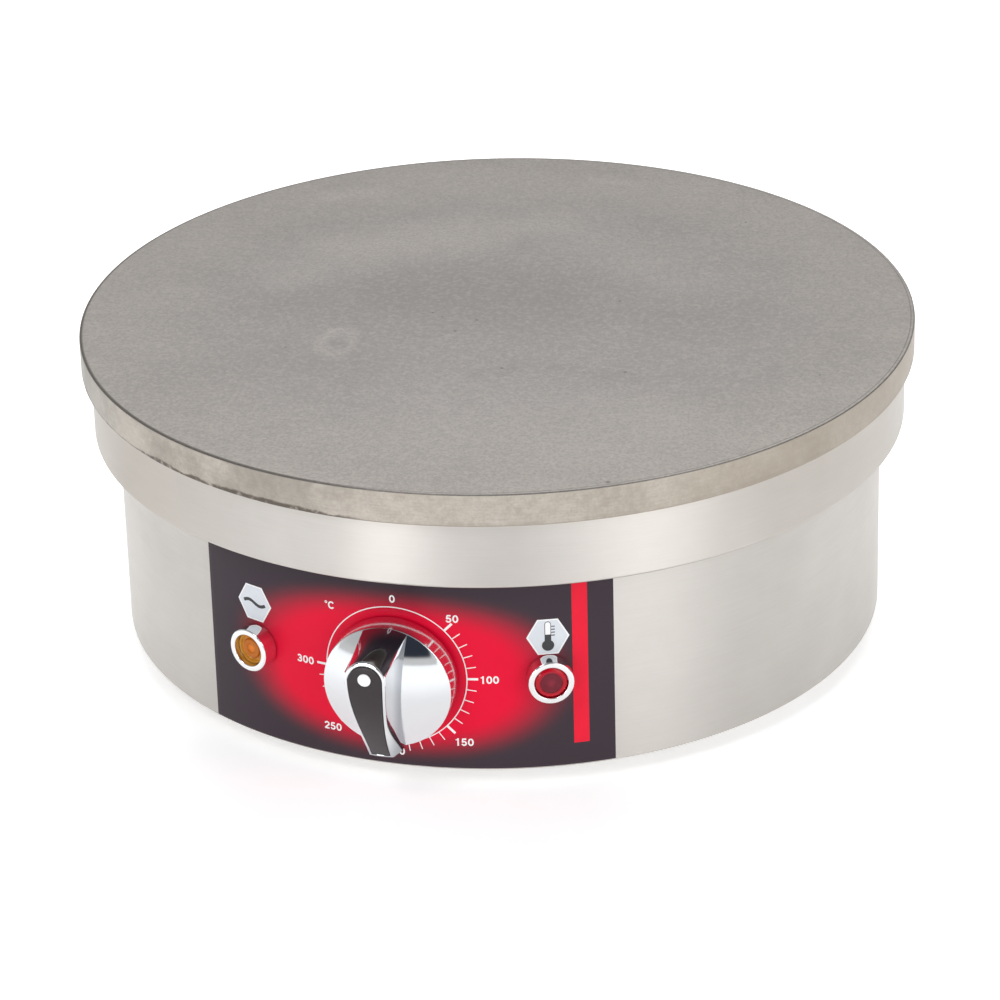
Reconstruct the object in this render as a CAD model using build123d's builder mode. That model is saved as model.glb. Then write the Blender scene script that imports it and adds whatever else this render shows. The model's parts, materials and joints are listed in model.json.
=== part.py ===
from build123d import *
import os
from math import cos, pi, radians, sin, sqrt, tan

os.makedirs("parts", exist_ok=True)

# Electric crepe maker: a round cast-iron griddle on a stainless collar and a drum-shaped
# body, with a thermostat knob and two pilot lamps on its front.
# Millimetres, +Z up. The origin is on the griddle's axis, on the surface that the feet
# stand on. The front with the knob faces -Y.

# ---------------------------------------------------------------- driving sizes
# body drum
body_diameter = 368.0
body_height = 99.0          # the part of the drum that shows below the collar
body_sheet = 1.0
body_flange_width = 16.0    # inward flange at the drum's lower edge
body_tuck = 12.0            # the part of the drum inside the collar

# collar and griddle
collar_step = 11.5          # collar's outside over the drum's outside
collar_height = 33.0
collar_sheet = 1.2
collar_bend = 1.6           # outside radius of the collar's folds
plate_overhang = 4.5        # griddle's rim over the collar's outside
plate_thickness = 16.0
plate_edge = 0.8            # broken edges of the griddle

# frame brackets and studs that hold the griddle and the collar on the drum
bracket_count = 4
bracket_width = 26.0
bracket_sheet = 2.0
bracket_drop = 28.0         # how far a bracket's leg reaches below the drum's top edge
stud_inset = 9.0            # frame studs' circle inside the drum's inner wall
frame_stud_diameter = 6.0
frame_stud_depth = 9.0      # blind hole in the griddle
frame_nut_flats = 10.0
frame_nut_height = 5.0
washer_sheet = 1.6

# heating element and its clamp
element_diameter = 8.0
element_inset = 33.0        # outer loop's centre line inside the drum's inner wall
element_loop_gap = 55.0     # centre line to centre line of the two loops
element_bend = 16.0         # bends into the cold legs
element_outer_start = -66.0  # angles from +X, seen from above
element_inner_end = -70.0
element_turn = 262.0
clamp_sheet = 3.0
clamp_arm_width = 30.0
clamp_ring_outer = 80.0
clamp_ring_inner = 60.0
clamp_arm_overhang = 12.0   # arm's end past the outer loop's centre line
clamp_stud_diameter = 8.0
clamp_stud_count = 3
clamp_nut_flats = 13.0
clamp_nut_height = 6.5
clamp_washer_diameter = 16.0

# insulation and heat shield
insulation_thickness = 14.0
insulation_margin = 12.0    # past the outer loop's centre line
shield_sheet = 0.8
shield_lip = 8.0
stud_tip = 1.5              # thread showing past a nut

# thermostat bulb under the griddle
bulb_diameter = 6.0
bulb_length = 80.0
clip_length = 44.0
clip_width = 14.0
clip_sheet = 2.0
clip_offset = 10.0
clip_stud_spacing = 28.0
clip_stud_diameter = 5.0
clip_nut_flats = 8.0
clip_nut_height = 4.0
capillary_diameter = 2.0
capillary_bend = 8.0

# base plate and feet
base_sheet = 1.2
base_screw_count = 8
base_screw_diameter = 4.0
base_head_diameter = 8.0
base_head_height = 2.2
foot_height = 9.0
foot_diameter = 32.0
foot_taper = 2.0            # a foot's sole is this much smaller all round
foot_inset = 43.0           # feet's circle inside the drum's inner wall
foot_count = 4
foot_screw_diameter = 5.0
foot_recess_diameter = 12.0
foot_recess_depth = 4.5
vent_count = 12
vent_length = 36.0
vent_width = 4.0
vent_circle = 88.0

# front label, a printed film
label_half_angle = 31.4
label_film = 0.3
label_film_gap = 0.1        # adhesive between the film and the drum
label_top_gap = 0.6
label_bottom_gap = 0.2      # over the fold at the drum's lower edge

# dial and knob; heights are over the drum's lower edge or out from the label
dial_height = 47.5
knob_diameter = 60.0
knob_gap = 1.0
knob_skirt = 12.0           # straight side wall
knob_dome = 7.5             # crown of the two side faces over the skirt
bar_head_height = 46.3      # crest at the pointer's end
bar_tail_height = 24.6      # crest at the other end
bar_crown = 5.2             # how far the crest bulges over a straight line
bar_head_width = 22.0
bar_tail_width = 14.6
bar_shoulder = 18.0         # where the bar starts to narrow, above the axis
bar_draft = 1.9
bar_edge = 1.4
knob_wall = 2.2
inlay_depth = 1.2
inlay_gap = 0.05
inlay_head_radius = 8.3
inlay_tail_width = 8.8
inlay_tail_margin = 1.4
dot_diameter = 6.0
dot_depth = 0.8
hub_diameter = 12.0
hub_height = 23.0
hub_disc = 2.0
hub_rise = 1.2              # the hub's lower face over the knob's rim
shaft_diameter = 6.0
shaft_flat = 1.5            # flat's distance from the shaft's axis
shaft_reach = 20.0          # shaft's tip out from the label
hub_clip_sheet = 1.0
hub_clip_width = 4.0
hub_clip_mouth = 60.0       # the clip's opening, in degrees

# thermostat behind the drum's front
bracket_standoff = 11.0     # mounting plate's face behind the inner wall
mount_sheet = 1.5
mount_width = 61.0
mount_height = 50.0
thermostat_width = 44.0
thermostat_height = 54.0
thermostat_depth = 40.0
bushing_diameter = 10.0
bushing_length = 7.5
thermostat_screw_spacing = 28.0
thermostat_screw_diameter = 4.0
thermostat_head_diameter = 7.0
thermostat_head_height = 2.6
access_hole_diameter = 8.5
shaft_hole_diameter = 12.0

# pilot lamps
lamp_angle = 22.0           # either side of the knob
lamp_height = 48.5          # over the drum's lower edge
bezel_diameter = 21.0
bezel_height = 8.4
bezel_bore = 15.3
bezel_recess = 4.8
bezel_edge = 0.7
lamp_neck_diameter = 12.4
lamp_hole_diameter = 13.0
lamp_neck_length = 26.0
lamp_nut_flats = 16.0
lamp_nut_height = 4.0
lens_rim = 1.3
lens_step = 0.9
lens_step_diameter = 10.4
lamp_blade_width = 4.8
lamp_blade_sheet = 0.8
lamp_blade_length = 8.0
lamp_blade_spacing = 6.0

# mains terminals and cable gland at the back
gland_height = 28.0         # over the drum's lower edge
gland_thread_diameter = 20.0
gland_flats = 24.0
gland_flange = 5.0
gland_inside = 12.0
gland_cap_length = 14.0
gland_cap_diameter = 22.0
gland_bore = 9.5
gland_nut_height = 5.0
block_length = 60.0
block_depth = 24.0
block_height = 18.0
block_inset = 65.0          # block's centre inside the drum's inner wall
block_poles = 6
block_pitch = 9.0
block_screw_diameter = 4.4
block_tray_sheet = 1.5
block_tray_margin = 5.0
tray_screw_diameter = 3.5
tray_head_diameter = 6.5
tray_head_height = 2.0
earth_stud_diameter = 5.0
earth_stud_length = 18.0
earth_inset = 55.0          # inside the drum's inner wall
earth_angle = 61.0
earth_nut_flats = 8.0
earth_nut_height = 4.0
blade_width = 6.3
blade_sheet = 0.8
blade_length = 8.0
lead_diameter = 2.6

# clearances
seat_gap = 0.1              # between round faces that rest on each other
thread_gap = 0.05           # round a screw or stud in its own hole
hole_gap = 0.4              # round a screw or stud that passes through
running_gap = 0.05          # round the turning shaft
wall_gap = 0.3              # next to a curved wall

# ---------------------------------------------------------------- levels and radii
body_radius = body_diameter / 2
shell_inner_radius = body_radius - body_sheet
collar_radius = body_radius + collar_step
plate_radius = collar_radius + plate_overhang

shell_bottom = foot_height - body_sheet
collar_bottom = shell_bottom + body_height
shell_top = collar_bottom + body_tuck
plate_bottom = collar_bottom + collar_height
plate_top = plate_bottom + plate_thickness

stud_circle = shell_inner_radius - stud_inset
ledge_inner_radius = stud_circle - stud_inset
bracket_top = plate_bottom - collar_sheet
bracket_angles_start = 45.0

outer_loop = shell_inner_radius - element_inset
inner_loop = outer_loop - element_loop_gap
mid_loop = (outer_loop + inner_loop) / 2
element_level = plate_bottom - seat_gap - element_diameter / 2
clamp_top = element_level - element_diameter / 2 - seat_gap
clamp_bottom = clamp_top - clamp_sheet
clamp_washer_bottom = clamp_bottom - washer_sheet
clamp_nut_bottom = clamp_washer_bottom - clamp_nut_height
insulation_top = clamp_nut_bottom - stud_tip
insulation_bottom = insulation_top - insulation_thickness
insulation_radius = outer_loop + insulation_margin
shield_bottom = insulation_bottom - shield_sheet
shield_washer_bottom = shield_bottom - washer_sheet
shield_nut_bottom = shield_washer_bottom - clamp_nut_height
clamp_stud_bottom = shield_nut_bottom - stud_tip
cold_leg_bottom = shield_nut_bottom - stud_tip
clamp_arm_start = 90.0      # first arm points to the back

bulb_level = plate_bottom - seat_gap - bulb_diameter / 2
clip_top = bulb_level - bulb_diameter / 2 - seat_gap
clip_nut_bottom = clip_top - clip_sheet - clip_nut_height
capillary_spot = (-(bulb_length / 2 + 2 * capillary_diameter + capillary_bend), 0.0)

base_bottom = foot_height
base_top = base_bottom + base_sheet
base_radius = shell_inner_radius - wall_gap
base_screw_circle = shell_inner_radius - body_flange_width / 2
foot_circle = shell_inner_radius - foot_inset

label_inner_radius = body_radius + label_film_gap
label_radius = label_inner_radius + label_film
dial_level = shell_bottom + dial_height
lamp_level = shell_bottom + lamp_height
knob_radius = knob_diameter / 2
wall_behind_label = label_radius - shell_inner_radius

mount_face = -(shell_inner_radius - bracket_standoff)
thermostat_face = mount_face + mount_sheet
thermostat_back = thermostat_face + thermostat_depth

gland_level = shell_bottom + gland_height
block_distance = shell_inner_radius - block_inset
tray_top = base_top + block_tray_sheet
block_top = tray_top + block_height
block_front = block_distance - block_depth / 2
lead_level = tray_top + block_height / 2


# ---------------------------------------------------------------- helpers
def panel_plane(angle, radius, height):
    """Plane that touches the drum, facing out; angle 0 is the front, positive to the right."""
    a = radians(angle)
    return Plane(
        origin=(radius * sin(a), -radius * cos(a), height),
        x_dir=(cos(a), sin(a), 0),
        z_dir=(sin(a), -cos(a), 0),
    )


def turning_plane(angle, radius, height):
    """Plane for a turned piece's half profile: x is its radius, y points out of the drum."""
    a = radians(angle)
    return Plane(
        origin=(radius * sin(a), -radius * cos(a), height),
        x_dir=(cos(a), sin(a), 0),
        z_dir=(0, 0, -1),
    )


def panel_axis(angle, radius, height):
    """Axis square to the drum at that place, pointing out."""
    a = radians(angle)
    return Axis((radius * sin(a), -radius * cos(a), height), (sin(a), -cos(a), 0))


def section_plane(angle):
    """Upright plane through the drum's axis; x points out at that angle from +X."""
    a = radians(angle)
    return Plane(origin=(0, 0, 0), x_dir=(cos(a), sin(a), 0), z_dir=(sin(a), -cos(a), 0))


def polar_point(radius, angle, level=0.0):
    a = radians(angle)
    return (radius * cos(a), radius * sin(a), level)


def ring_spots(radius, count, start):
    """Points spread evenly round a circle, as (x, y)."""
    return [polar_point(radius, start + i * 360.0 / count)[:2] for i in range(count)]


def posts(spots, diameter, low, high, mode=Mode.ADD):
    """Round posts, or holes, from one level to another."""
    with BuildSketch(Plane.XY.offset(low)) as rounds:
        with Locations(*spots):
            Circle(diameter / 2)
    extrude(rounds.sketch, amount=high - low, mode=mode)


def hex_nuts(spots, flats, bore, low, high):
    with BuildSketch(Plane.XY.offset(low)) as hexagons:
        with Locations(*spots):
            RegularPolygon(flats / 2, 6, major_radius=False)
            Circle(bore / 2, mode=Mode.SUBTRACT)
    extrude(hexagons.sketch, amount=high - low)


def washers(spots, diameter, bore, low, high):
    with BuildSketch(Plane.XY.offset(low)) as rings:
        with Locations(*spots):
            Circle(diameter / 2)
            Circle(bore / 2, mode=Mode.SUBTRACT)
    extrude(rings.sketch, amount=high - low)


def turned(profile, plane, axis, mode=Mode.ADD):
    """Revolve a closed half profile, given as (radius, out) points."""
    with BuildSketch(plane) as half:
        with BuildLine():
            Polyline(*profile, close=True)
        make_face()
    revolve(half.sketch, axis=axis, mode=mode)


def corner_radii(points):
    """One radius for each corner of a route, as large as the runs beside it allow."""
    radii = []
    for before, corner, after in zip(points, points[1:], points[2:]):
        run_in = Vector(corner) - Vector(before)
        run_out = Vector(after) - Vector(corner)
        half_turn = radians(run_in.get_angle(run_out)) / 2
        radii.append(0.45 * min(run_in.length, run_out.length) / tan(half_turn))
    return radii


def run_lead(name, points, diameter):
    """A tube of straight runs joined by tangent arcs."""
    start = Vector(points[0])
    radii = corner_radii(points)
    print(name, "bend radii", [round(r, 1) for r in radii])
    with BuildLine() as route:
        FilletPolyline(*points, radius=radii)
    with BuildSketch(Plane(origin=start, z_dir=Vector(points[1]) - start)) as section:
        Circle(diameter / 2)
    sweep(section.sketch, path=route.line)
    tube = pi * diameter**2 / 4 * sum(edge.length for edge in route.edges())
    print(name, "section times length", round(tube, 1))


# ---------------------------------------------------------------- places
frame_spots = ring_spots(stud_circle, bracket_count, bracket_angles_start)
clamp_spots = ring_spots(mid_loop, clamp_stud_count, clamp_arm_start)
clip_spots = [(clip_offset, side * clip_stud_spacing / 2) for side in (-1, 1)]
foot_spots = ring_spots(foot_circle, foot_count, 45.0)
base_screw_spots = ring_spots(base_screw_circle, base_screw_count, 22.5)


def leg_spot(radius, angle, forward):
    """Foot of a cold leg: one bend's radius along the loop from the loop's end."""
    x, y, _ = polar_point(radius, angle)
    a = radians(angle)
    return (x - forward * element_bend * sin(a), y + forward * element_bend * cos(a))


earth_spot = polar_point(shell_inner_radius - earth_inset, earth_angle)[:2]
outer_leg = leg_spot(outer_loop, element_outer_start, -1)
inner_leg = leg_spot(inner_loop, element_inner_end, -1)

# ---------------------------------------------------------------- griddle
with BuildPart() as griddle_plate:
    with BuildSketch(Plane.XY.offset(plate_bottom)):
        Circle(plate_radius)
    extrude(amount=plate_thickness)
    chamfer(griddle_plate.edges().filter_by(GeomType.CIRCLE), plate_edge)
    posts(
        frame_spots,
        frame_stud_diameter + 2 * thread_gap,
        plate_bottom,
        plate_bottom + frame_stud_depth,
        Mode.SUBTRACT,
    )
    posts(
        clamp_spots,
        clamp_stud_diameter + 2 * thread_gap,
        plate_bottom,
        plate_bottom + frame_stud_depth,
        Mode.SUBTRACT,
    )
    posts(
        clip_spots,
        clip_stud_diameter + 2 * thread_gap,
        plate_bottom,
        plate_bottom + frame_stud_depth,
        Mode.SUBTRACT,
    )
griddle_plate.part.label = "griddle_plate"
export_step(griddle_plate.part, "parts/griddle_plate.step")

with BuildPart() as frame_studs:
    posts(
        frame_spots,
        frame_stud_diameter,
        bracket_top - bracket_sheet - washer_sheet - frame_nut_height - stud_tip,
        plate_bottom + frame_stud_depth - seat_gap,
    )
frame_studs.part.label = "frame_studs"
export_step(frame_studs.part, "parts/frame_studs.step")

with BuildPart() as clamp_studs:
    posts(
        clamp_spots,
        clamp_stud_diameter,
        clamp_stud_bottom,
        plate_bottom + frame_stud_depth - seat_gap,
    )
clamp_studs.part.label = "clamp_studs"
export_step(clamp_studs.part, "parts/clamp_studs.step")

with BuildPart() as clip_studs:
    posts(
        clip_spots,
        clip_stud_diameter,
        clip_nut_bottom - stud_tip,
        plate_bottom + frame_stud_depth - seat_gap,
    )
clip_studs.part.label = "clip_studs"
export_step(clip_studs.part, "parts/clip_studs.step")


# ---------------------------------------------------------------- heating element
def leg_bend(spot, loop_point):
    """Quarter bend from an upright leg to the level loop, as its start, middle and end."""
    centre = Vector(loop_point[0], loop_point[1], element_level - element_bend)
    out = (Vector(spot[0], spot[1], centre.Z) - centre).normalized()
    middle = centre + (out + Vector(0, 0, 1)).normalized() * element_bend
    return Vector(spot[0], spot[1], centre.Z), middle, Vector(*loop_point)


loop_start = polar_point(outer_loop, element_outer_start, element_level)
loop_end = polar_point(inner_loop, element_inner_end, element_level)
outer_turn = polar_point(outer_loop, element_turn, element_level)
inner_turn = polar_point(inner_loop, element_turn, element_level)
turn_angle = radians(element_turn)
turn_crown = (
    mid_loop * cos(turn_angle) - element_loop_gap / 2 * sin(turn_angle),
    mid_loop * sin(turn_angle) + element_loop_gap / 2 * cos(turn_angle),
    element_level,
)

with BuildPart() as heating_element:
    with BuildLine():
        Line((*outer_leg, cold_leg_bottom), (*outer_leg, element_level - element_bend))
        ThreePointArc(*leg_bend(outer_leg, loop_start))
        ThreePointArc(
            loop_start,
            polar_point(outer_loop, (element_outer_start + element_turn) / 2, element_level),
            outer_turn,
        )
        ThreePointArc(outer_turn, turn_crown, inner_turn)
        ThreePointArc(
            inner_turn,
            polar_point(inner_loop, (element_inner_end + element_turn) / 2, element_level),
            loop_end,
        )
        ThreePointArc(*reversed(leg_bend(inner_leg, loop_end)))
        Line((*inner_leg, element_level - element_bend), (*inner_leg, cold_leg_bottom))
    with BuildSketch(Plane.XY.offset(cold_leg_bottom)):
        with Locations(outer_leg):
            Circle(element_diameter / 2)
    sweep()
heating_element.part.label = "heating_element"
export_step(heating_element.part, "parts/heating_element.step")

with BuildPart() as element_clamp:
    with BuildSketch(Plane.XY.offset(clamp_bottom)):
        Circle(clamp_ring_outer)
        arm_end = outer_loop + clamp_arm_overhang
        arm_start = (clamp_ring_outer + clamp_ring_inner) / 2
        with PolarLocations((arm_start + arm_end) / 2, clamp_stud_count, clamp_arm_start):
            Rectangle(arm_end - arm_start, clamp_arm_width)
        Circle(clamp_ring_inner, mode=Mode.SUBTRACT)
        with Locations(*clamp_spots):
            Circle(clamp_stud_diameter / 2 + hole_gap, mode=Mode.SUBTRACT)
    extrude(amount=clamp_sheet)
element_clamp.part.label = "element_clamp"
export_step(element_clamp.part, "parts/element_clamp.step")

clamp_bore = clamp_stud_diameter + 2 * thread_gap
with BuildPart() as clamp_washers:
    washers(clamp_spots, clamp_washer_diameter, clamp_bore, clamp_washer_bottom, clamp_bottom)
    washers(clamp_spots, clamp_washer_diameter, clamp_bore, shield_washer_bottom, shield_bottom)
clamp_washers.part.label = "clamp_washers"
export_step(clamp_washers.part, "parts/clamp_washers.step")

with BuildPart() as clamp_nuts:
    hex_nuts(clamp_spots, clamp_nut_flats, clamp_bore, clamp_nut_bottom, clamp_washer_bottom)
    hex_nuts(clamp_spots, clamp_nut_flats, clamp_bore, shield_nut_bottom, shield_washer_bottom)
clamp_nuts.part.label = "clamp_nuts"
export_step(clamp_nuts.part, "parts/clamp_nuts.step")

# ---------------------------------------------------------------- insulation and shield
leg_hole = element_diameter + 2 * hole_gap
capillary_hole = capillary_diameter + 6 * hole_gap
stud_hole = clamp_stud_diameter + 2 * hole_gap

with BuildPart() as insulation_disc:
    with BuildSketch(Plane.XY.offset(insulation_bottom)):
        Circle(insulation_radius)
    extrude(amount=insulation_thickness)
    posts(clamp_spots, stud_hole, insulation_bottom, insulation_top, Mode.SUBTRACT)
    posts([outer_leg, inner_leg], leg_hole, insulation_bottom, insulation_top, Mode.SUBTRACT)
    posts([capillary_spot], capillary_hole, insulation_bottom, insulation_top, Mode.SUBTRACT)
insulation_disc.part.label = "insulation_disc"
export_step(insulation_disc.part, "parts/insulation_disc.step")

with BuildPart() as heat_shield:
    pan_inner = insulation_radius + seat_gap
    pan_outer = pan_inner + shield_sheet
    with BuildSketch(section_plane(0)):
        with BuildLine():
            Polyline(
                (0, shield_bottom),
                (pan_outer, shield_bottom),
                (pan_outer, insulation_bottom + shield_lip),
                (pan_inner, insulation_bottom + shield_lip),
                (pan_inner, insulation_bottom),
                (0, insulation_bottom),
                close=True,
            )
        make_face()
    revolve(axis=Axis.Z)
    posts(clamp_spots, stud_hole, shield_bottom, insulation_bottom, Mode.SUBTRACT)
    posts([outer_leg, inner_leg], leg_hole, shield_bottom, insulation_bottom, Mode.SUBTRACT)
    posts([capillary_spot], capillary_hole, shield_bottom, insulation_bottom, Mode.SUBTRACT)
heat_shield.part.label = "heat_shield"
export_step(heat_shield.part, "parts/heat_shield.step")

# ---------------------------------------------------------------- thermostat bulb
with BuildPart() as thermostat_bulb:
    with BuildSketch(Plane.YZ.offset(-bulb_length / 2)):
        with Locations((0, bulb_level)):
            Circle(bulb_diameter / 2)
    extrude(amount=bulb_length)
    fillet(thermostat_bulb.edges().filter_by(GeomType.CIRCLE), bulb_diameter / 4)
thermostat_bulb.part.label = "thermostat_bulb"
export_step(thermostat_bulb.part, "parts/thermostat_bulb.step")

with BuildPart() as bulb_clip:
    with BuildSketch(Plane.XY.offset(clip_top - clip_sheet)):
        with Locations((clip_offset, 0)):
            SlotOverall(clip_length, clip_width, rotation=90)
        with Locations(*clip_spots):
            Circle(clip_stud_diameter / 2 + hole_gap, mode=Mode.SUBTRACT)
    extrude(amount=clip_sheet)
bulb_clip.part.label = "bulb_clip"
export_step(bulb_clip.part, "parts/bulb_clip.step")

with BuildPart() as clip_nuts:
    hex_nuts(
        clip_spots,
        clip_nut_flats,
        clip_stud_diameter + 2 * thread_gap,
        clip_nut_bottom,
        clip_top - clip_sheet,
    )
clip_nuts.part.label = "clip_nuts"
export_step(clip_nuts.part, "parts/clip_nuts.step")

# ---------------------------------------------------------------- collar
with BuildPart() as collar_ring:
    with BuildSketch(section_plane(0)) as collar_section:
        with BuildLine():
            foot_inner = body_radius + wall_gap
            wall_inner = collar_radius - collar_sheet
            Polyline(
                (foot_inner, collar_bottom),
                (collar_radius, collar_bottom),
                (collar_radius, plate_bottom),
                (ledge_inner_radius, plate_bottom),
                (ledge_inner_radius, plate_bottom - collar_sheet),
                (wall_inner, plate_bottom - collar_sheet),
                (wall_inner, collar_bottom + collar_sheet),
                (foot_inner, collar_bottom + collar_sheet),
                close=True,
            )
        make_face()
        fillet(collar_section.vertices().group_by(Axis.X)[-1], collar_bend)
    revolve(axis=Axis.Z)
    posts(
        frame_spots,
        frame_stud_diameter + 2 * hole_gap,
        plate_bottom - collar_sheet,
        plate_bottom,
        Mode.SUBTRACT,
    )
collar_ring.part.label = "collar_ring"
export_step(collar_ring.part, "parts/collar_ring.step")

# ---------------------------------------------------------------- brackets
leg_outer = shell_inner_radius - seat_gap
leg_inner = leg_outer - bracket_sheet
bracket_foot = shell_top - bracket_drop
with BuildPart() as support_brackets:
    with BuildSketch(section_plane(0)):
        with BuildLine():
            Polyline(
                (leg_inner, bracket_foot),
                (leg_outer, bracket_foot),
                (leg_outer, bracket_top),
                (ledge_inner_radius, bracket_top),
                (ledge_inner_radius, bracket_top - bracket_sheet),
                (leg_inner, bracket_top - bracket_sheet),
                close=True,
            )
        make_face()
    revolve(axis=Axis.Z)
    with BuildSketch(Plane.XY.offset(bracket_foot)):
        with PolarLocations(stud_circle, bracket_count, bracket_angles_start):
            Rectangle(4 * stud_inset, bracket_width)
    extrude(amount=bracket_top - bracket_foot, mode=Mode.INTERSECT)
    posts(
        frame_spots,
        frame_stud_diameter + 2 * hole_gap,
        bracket_top - bracket_sheet,
        bracket_top,
        Mode.SUBTRACT,
    )
support_brackets.part.label = "support_brackets"
export_step(support_brackets.part, "parts/support_brackets.step")

frame_bore = frame_stud_diameter + 2 * thread_gap
frame_washer_top = bracket_top - bracket_sheet
frame_washer_bottom = frame_washer_top - washer_sheet
with BuildPart() as frame_washers:
    washers(frame_spots, 1.2 * frame_nut_flats, frame_bore, frame_washer_bottom, frame_washer_top)
frame_washers.part.label = "frame_washers"
export_step(frame_washers.part, "parts/frame_washers.step")

with BuildPart() as frame_nuts:
    hex_nuts(
        frame_spots,
        frame_nut_flats,
        frame_bore,
        frame_washer_bottom - frame_nut_height,
        frame_washer_bottom,
    )
frame_nuts.part.label = "frame_nuts"
export_step(frame_nuts.part, "parts/frame_nuts.step")


# ---------------------------------------------------------------- body drum
def wall_hole(angle, level, diameter):
    """Round hole through the drum's wall and whatever lies on it."""
    with BuildSketch(panel_plane(angle, shell_inner_radius - collar_step, level)) as bore:
        Circle(diameter / 2)
    extrude(bore.sketch, amount=2 * collar_step, mode=Mode.SUBTRACT)


def front_holes():
    """Holes for the shaft, the thermostat's screws and the pilot lamps."""
    wall_hole(0, dial_level, shaft_hole_diameter)
    for side in (-1, 1):
        wall_hole(side * lamp_angle, lamp_level, lamp_hole_diameter)
    behind = panel_plane(0, shell_inner_radius - collar_step, dial_level)
    with BuildSketch(behind) as access:
        with GridLocations(thermostat_screw_spacing, 0, 2, 1):
            Circle(access_hole_diameter / 2)
    extrude(access.sketch, amount=2 * collar_step, mode=Mode.SUBTRACT)


with BuildPart() as body_shell:
    with BuildSketch(section_plane(0)) as shell_section:
        with BuildLine():
            flange_inner = shell_inner_radius - body_flange_width
            Polyline(
                (flange_inner, shell_bottom),
                (body_radius, shell_bottom),
                (body_radius, shell_top),
                (shell_inner_radius, shell_top),
                (shell_inner_radius, shell_bottom + body_sheet),
                (flange_inner, shell_bottom + body_sheet),
                close=True,
            )
        make_face()
        lower_corner = shell_section.vertices().group_by(Axis.X)[-1].sort_by(Axis.Y)[0]
        fillet(lower_corner, body_sheet)
    revolve(axis=Axis.Z)
    front_holes()
    wall_hole(180, gland_level, gland_thread_diameter + 2 * hole_gap)
    posts(
        base_screw_spots,
        base_screw_diameter + 2 * hole_gap,
        shell_bottom,
        shell_bottom + body_sheet,
        Mode.SUBTRACT,
    )
body_shell.part.label = "body_shell"
export_step(body_shell.part, "parts/body_shell.step")

with BuildPart() as front_label:
    label_bottom = shell_bottom + body_sheet + label_bottom_gap
    label_top = collar_bottom - label_top_gap
    with BuildSketch(section_plane(-90 - label_half_angle)):
        with Locations(
            ((label_inner_radius + label_radius) / 2, (label_bottom + label_top) / 2)
        ):
            Rectangle(label_film, label_top - label_bottom)
    revolve(axis=Axis.Z, revolution_arc=2 * label_half_angle)
    front_holes()
front_label.part.label = "front_label"
export_step(front_label.part, "parts/front_label.step")

# ---------------------------------------------------------------- base plate and feet
with BuildPart() as base_plate:
    with BuildSketch(Plane.XY.offset(base_bottom)):
        Circle(base_radius)
        with PolarLocations(vent_circle, vent_count, 360 / vent_count / 2):
            SlotOverall(vent_length, vent_width, mode=Mode.SUBTRACT)
        with Locations(*foot_spots):
            Circle(foot_screw_diameter / 2 + hole_gap, mode=Mode.SUBTRACT)
        with Locations(*base_screw_spots):
            Circle(base_screw_diameter / 2 + thread_gap, mode=Mode.SUBTRACT)
        with Locations(earth_spot):
            Circle(earth_stud_diameter / 2 + thread_gap, mode=Mode.SUBTRACT)
    extrude(amount=base_sheet)
base_plate.part.label = "base_plate"
export_step(base_plate.part, "parts/base_plate.step")

with BuildPart() as base_screws:
    posts(base_screw_spots, base_screw_diameter, shell_bottom, base_top + base_sheet)
    posts(base_screw_spots, base_head_diameter, shell_bottom - base_head_height, shell_bottom)
    fillet(
        base_screws.edges().filter_by(GeomType.CIRCLE).group_by(Axis.Z)[0], base_head_height / 3
    )
base_screws.part.label = "base_screws"
export_step(base_screws.part, "parts/base_screws.step")

foot_head_height = 2.5
foot_hole = foot_screw_diameter / 2 + hole_gap
foot_profile = [
    (foot_hole, foot_recess_depth),
    (foot_recess_diameter / 2, foot_recess_depth),
    (foot_recess_diameter / 2, 0),
    (foot_diameter / 2 - foot_taper, 0),
    (foot_diameter / 2, foot_height),
    (foot_hole, foot_height),
]
with BuildPart() as feet:
    for x, y in foot_spots:
        upright = Plane(origin=(x, y, 0), x_dir=(1, 0, 0), z_dir=(0, -1, 0))
        turned(foot_profile, upright, Axis((x, y, 0), (0, 0, 1)))
feet.part.label = "feet"
export_step(feet.part, "parts/feet.step")

foot_nut_height = 4.0
with BuildPart() as foot_screws:
    posts(
        foot_spots,
        foot_screw_diameter,
        foot_recess_depth,
        base_top + foot_nut_height + stud_tip,
    )
    posts(
        foot_spots,
        foot_recess_diameter - 2.0,
        foot_recess_depth - foot_head_height,
        foot_recess_depth,
    )
foot_screws.part.label = "foot_screws"
export_step(foot_screws.part, "parts/foot_screws.step")

with BuildPart() as foot_nuts:
    hex_nuts(
        foot_spots,
        earth_nut_flats,
        foot_screw_diameter + 2 * thread_gap,
        base_top,
        base_top + foot_nut_height,
    )
foot_nuts.part.label = "foot_nuts"
export_step(foot_nuts.part, "parts/foot_nuts.step")

# ---------------------------------------------------------------- knob
knob_plane = panel_plane(0, label_radius, dial_level)
knob_turning = turning_plane(0, label_radius, dial_level)
knob_axis = panel_axis(0, label_radius, dial_level)
# upright plane through the knob's axis: x points up, y points out of the panel
knob_side = Plane(origin=knob_plane.origin, x_dir=(0, 0, 1), z_dir=(1, 0, 0))
crest_middle = (bar_head_height + bar_tail_height) / 2 + bar_crown


def crest_arc(drop=0.0):
    """The grip bar's crest from its tail to its head, lowered by drop."""
    return ThreePointArc(
        (-knob_radius, bar_tail_height - drop),
        (0, crest_middle - drop),
        (knob_radius, bar_head_height - drop),
    )


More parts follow.
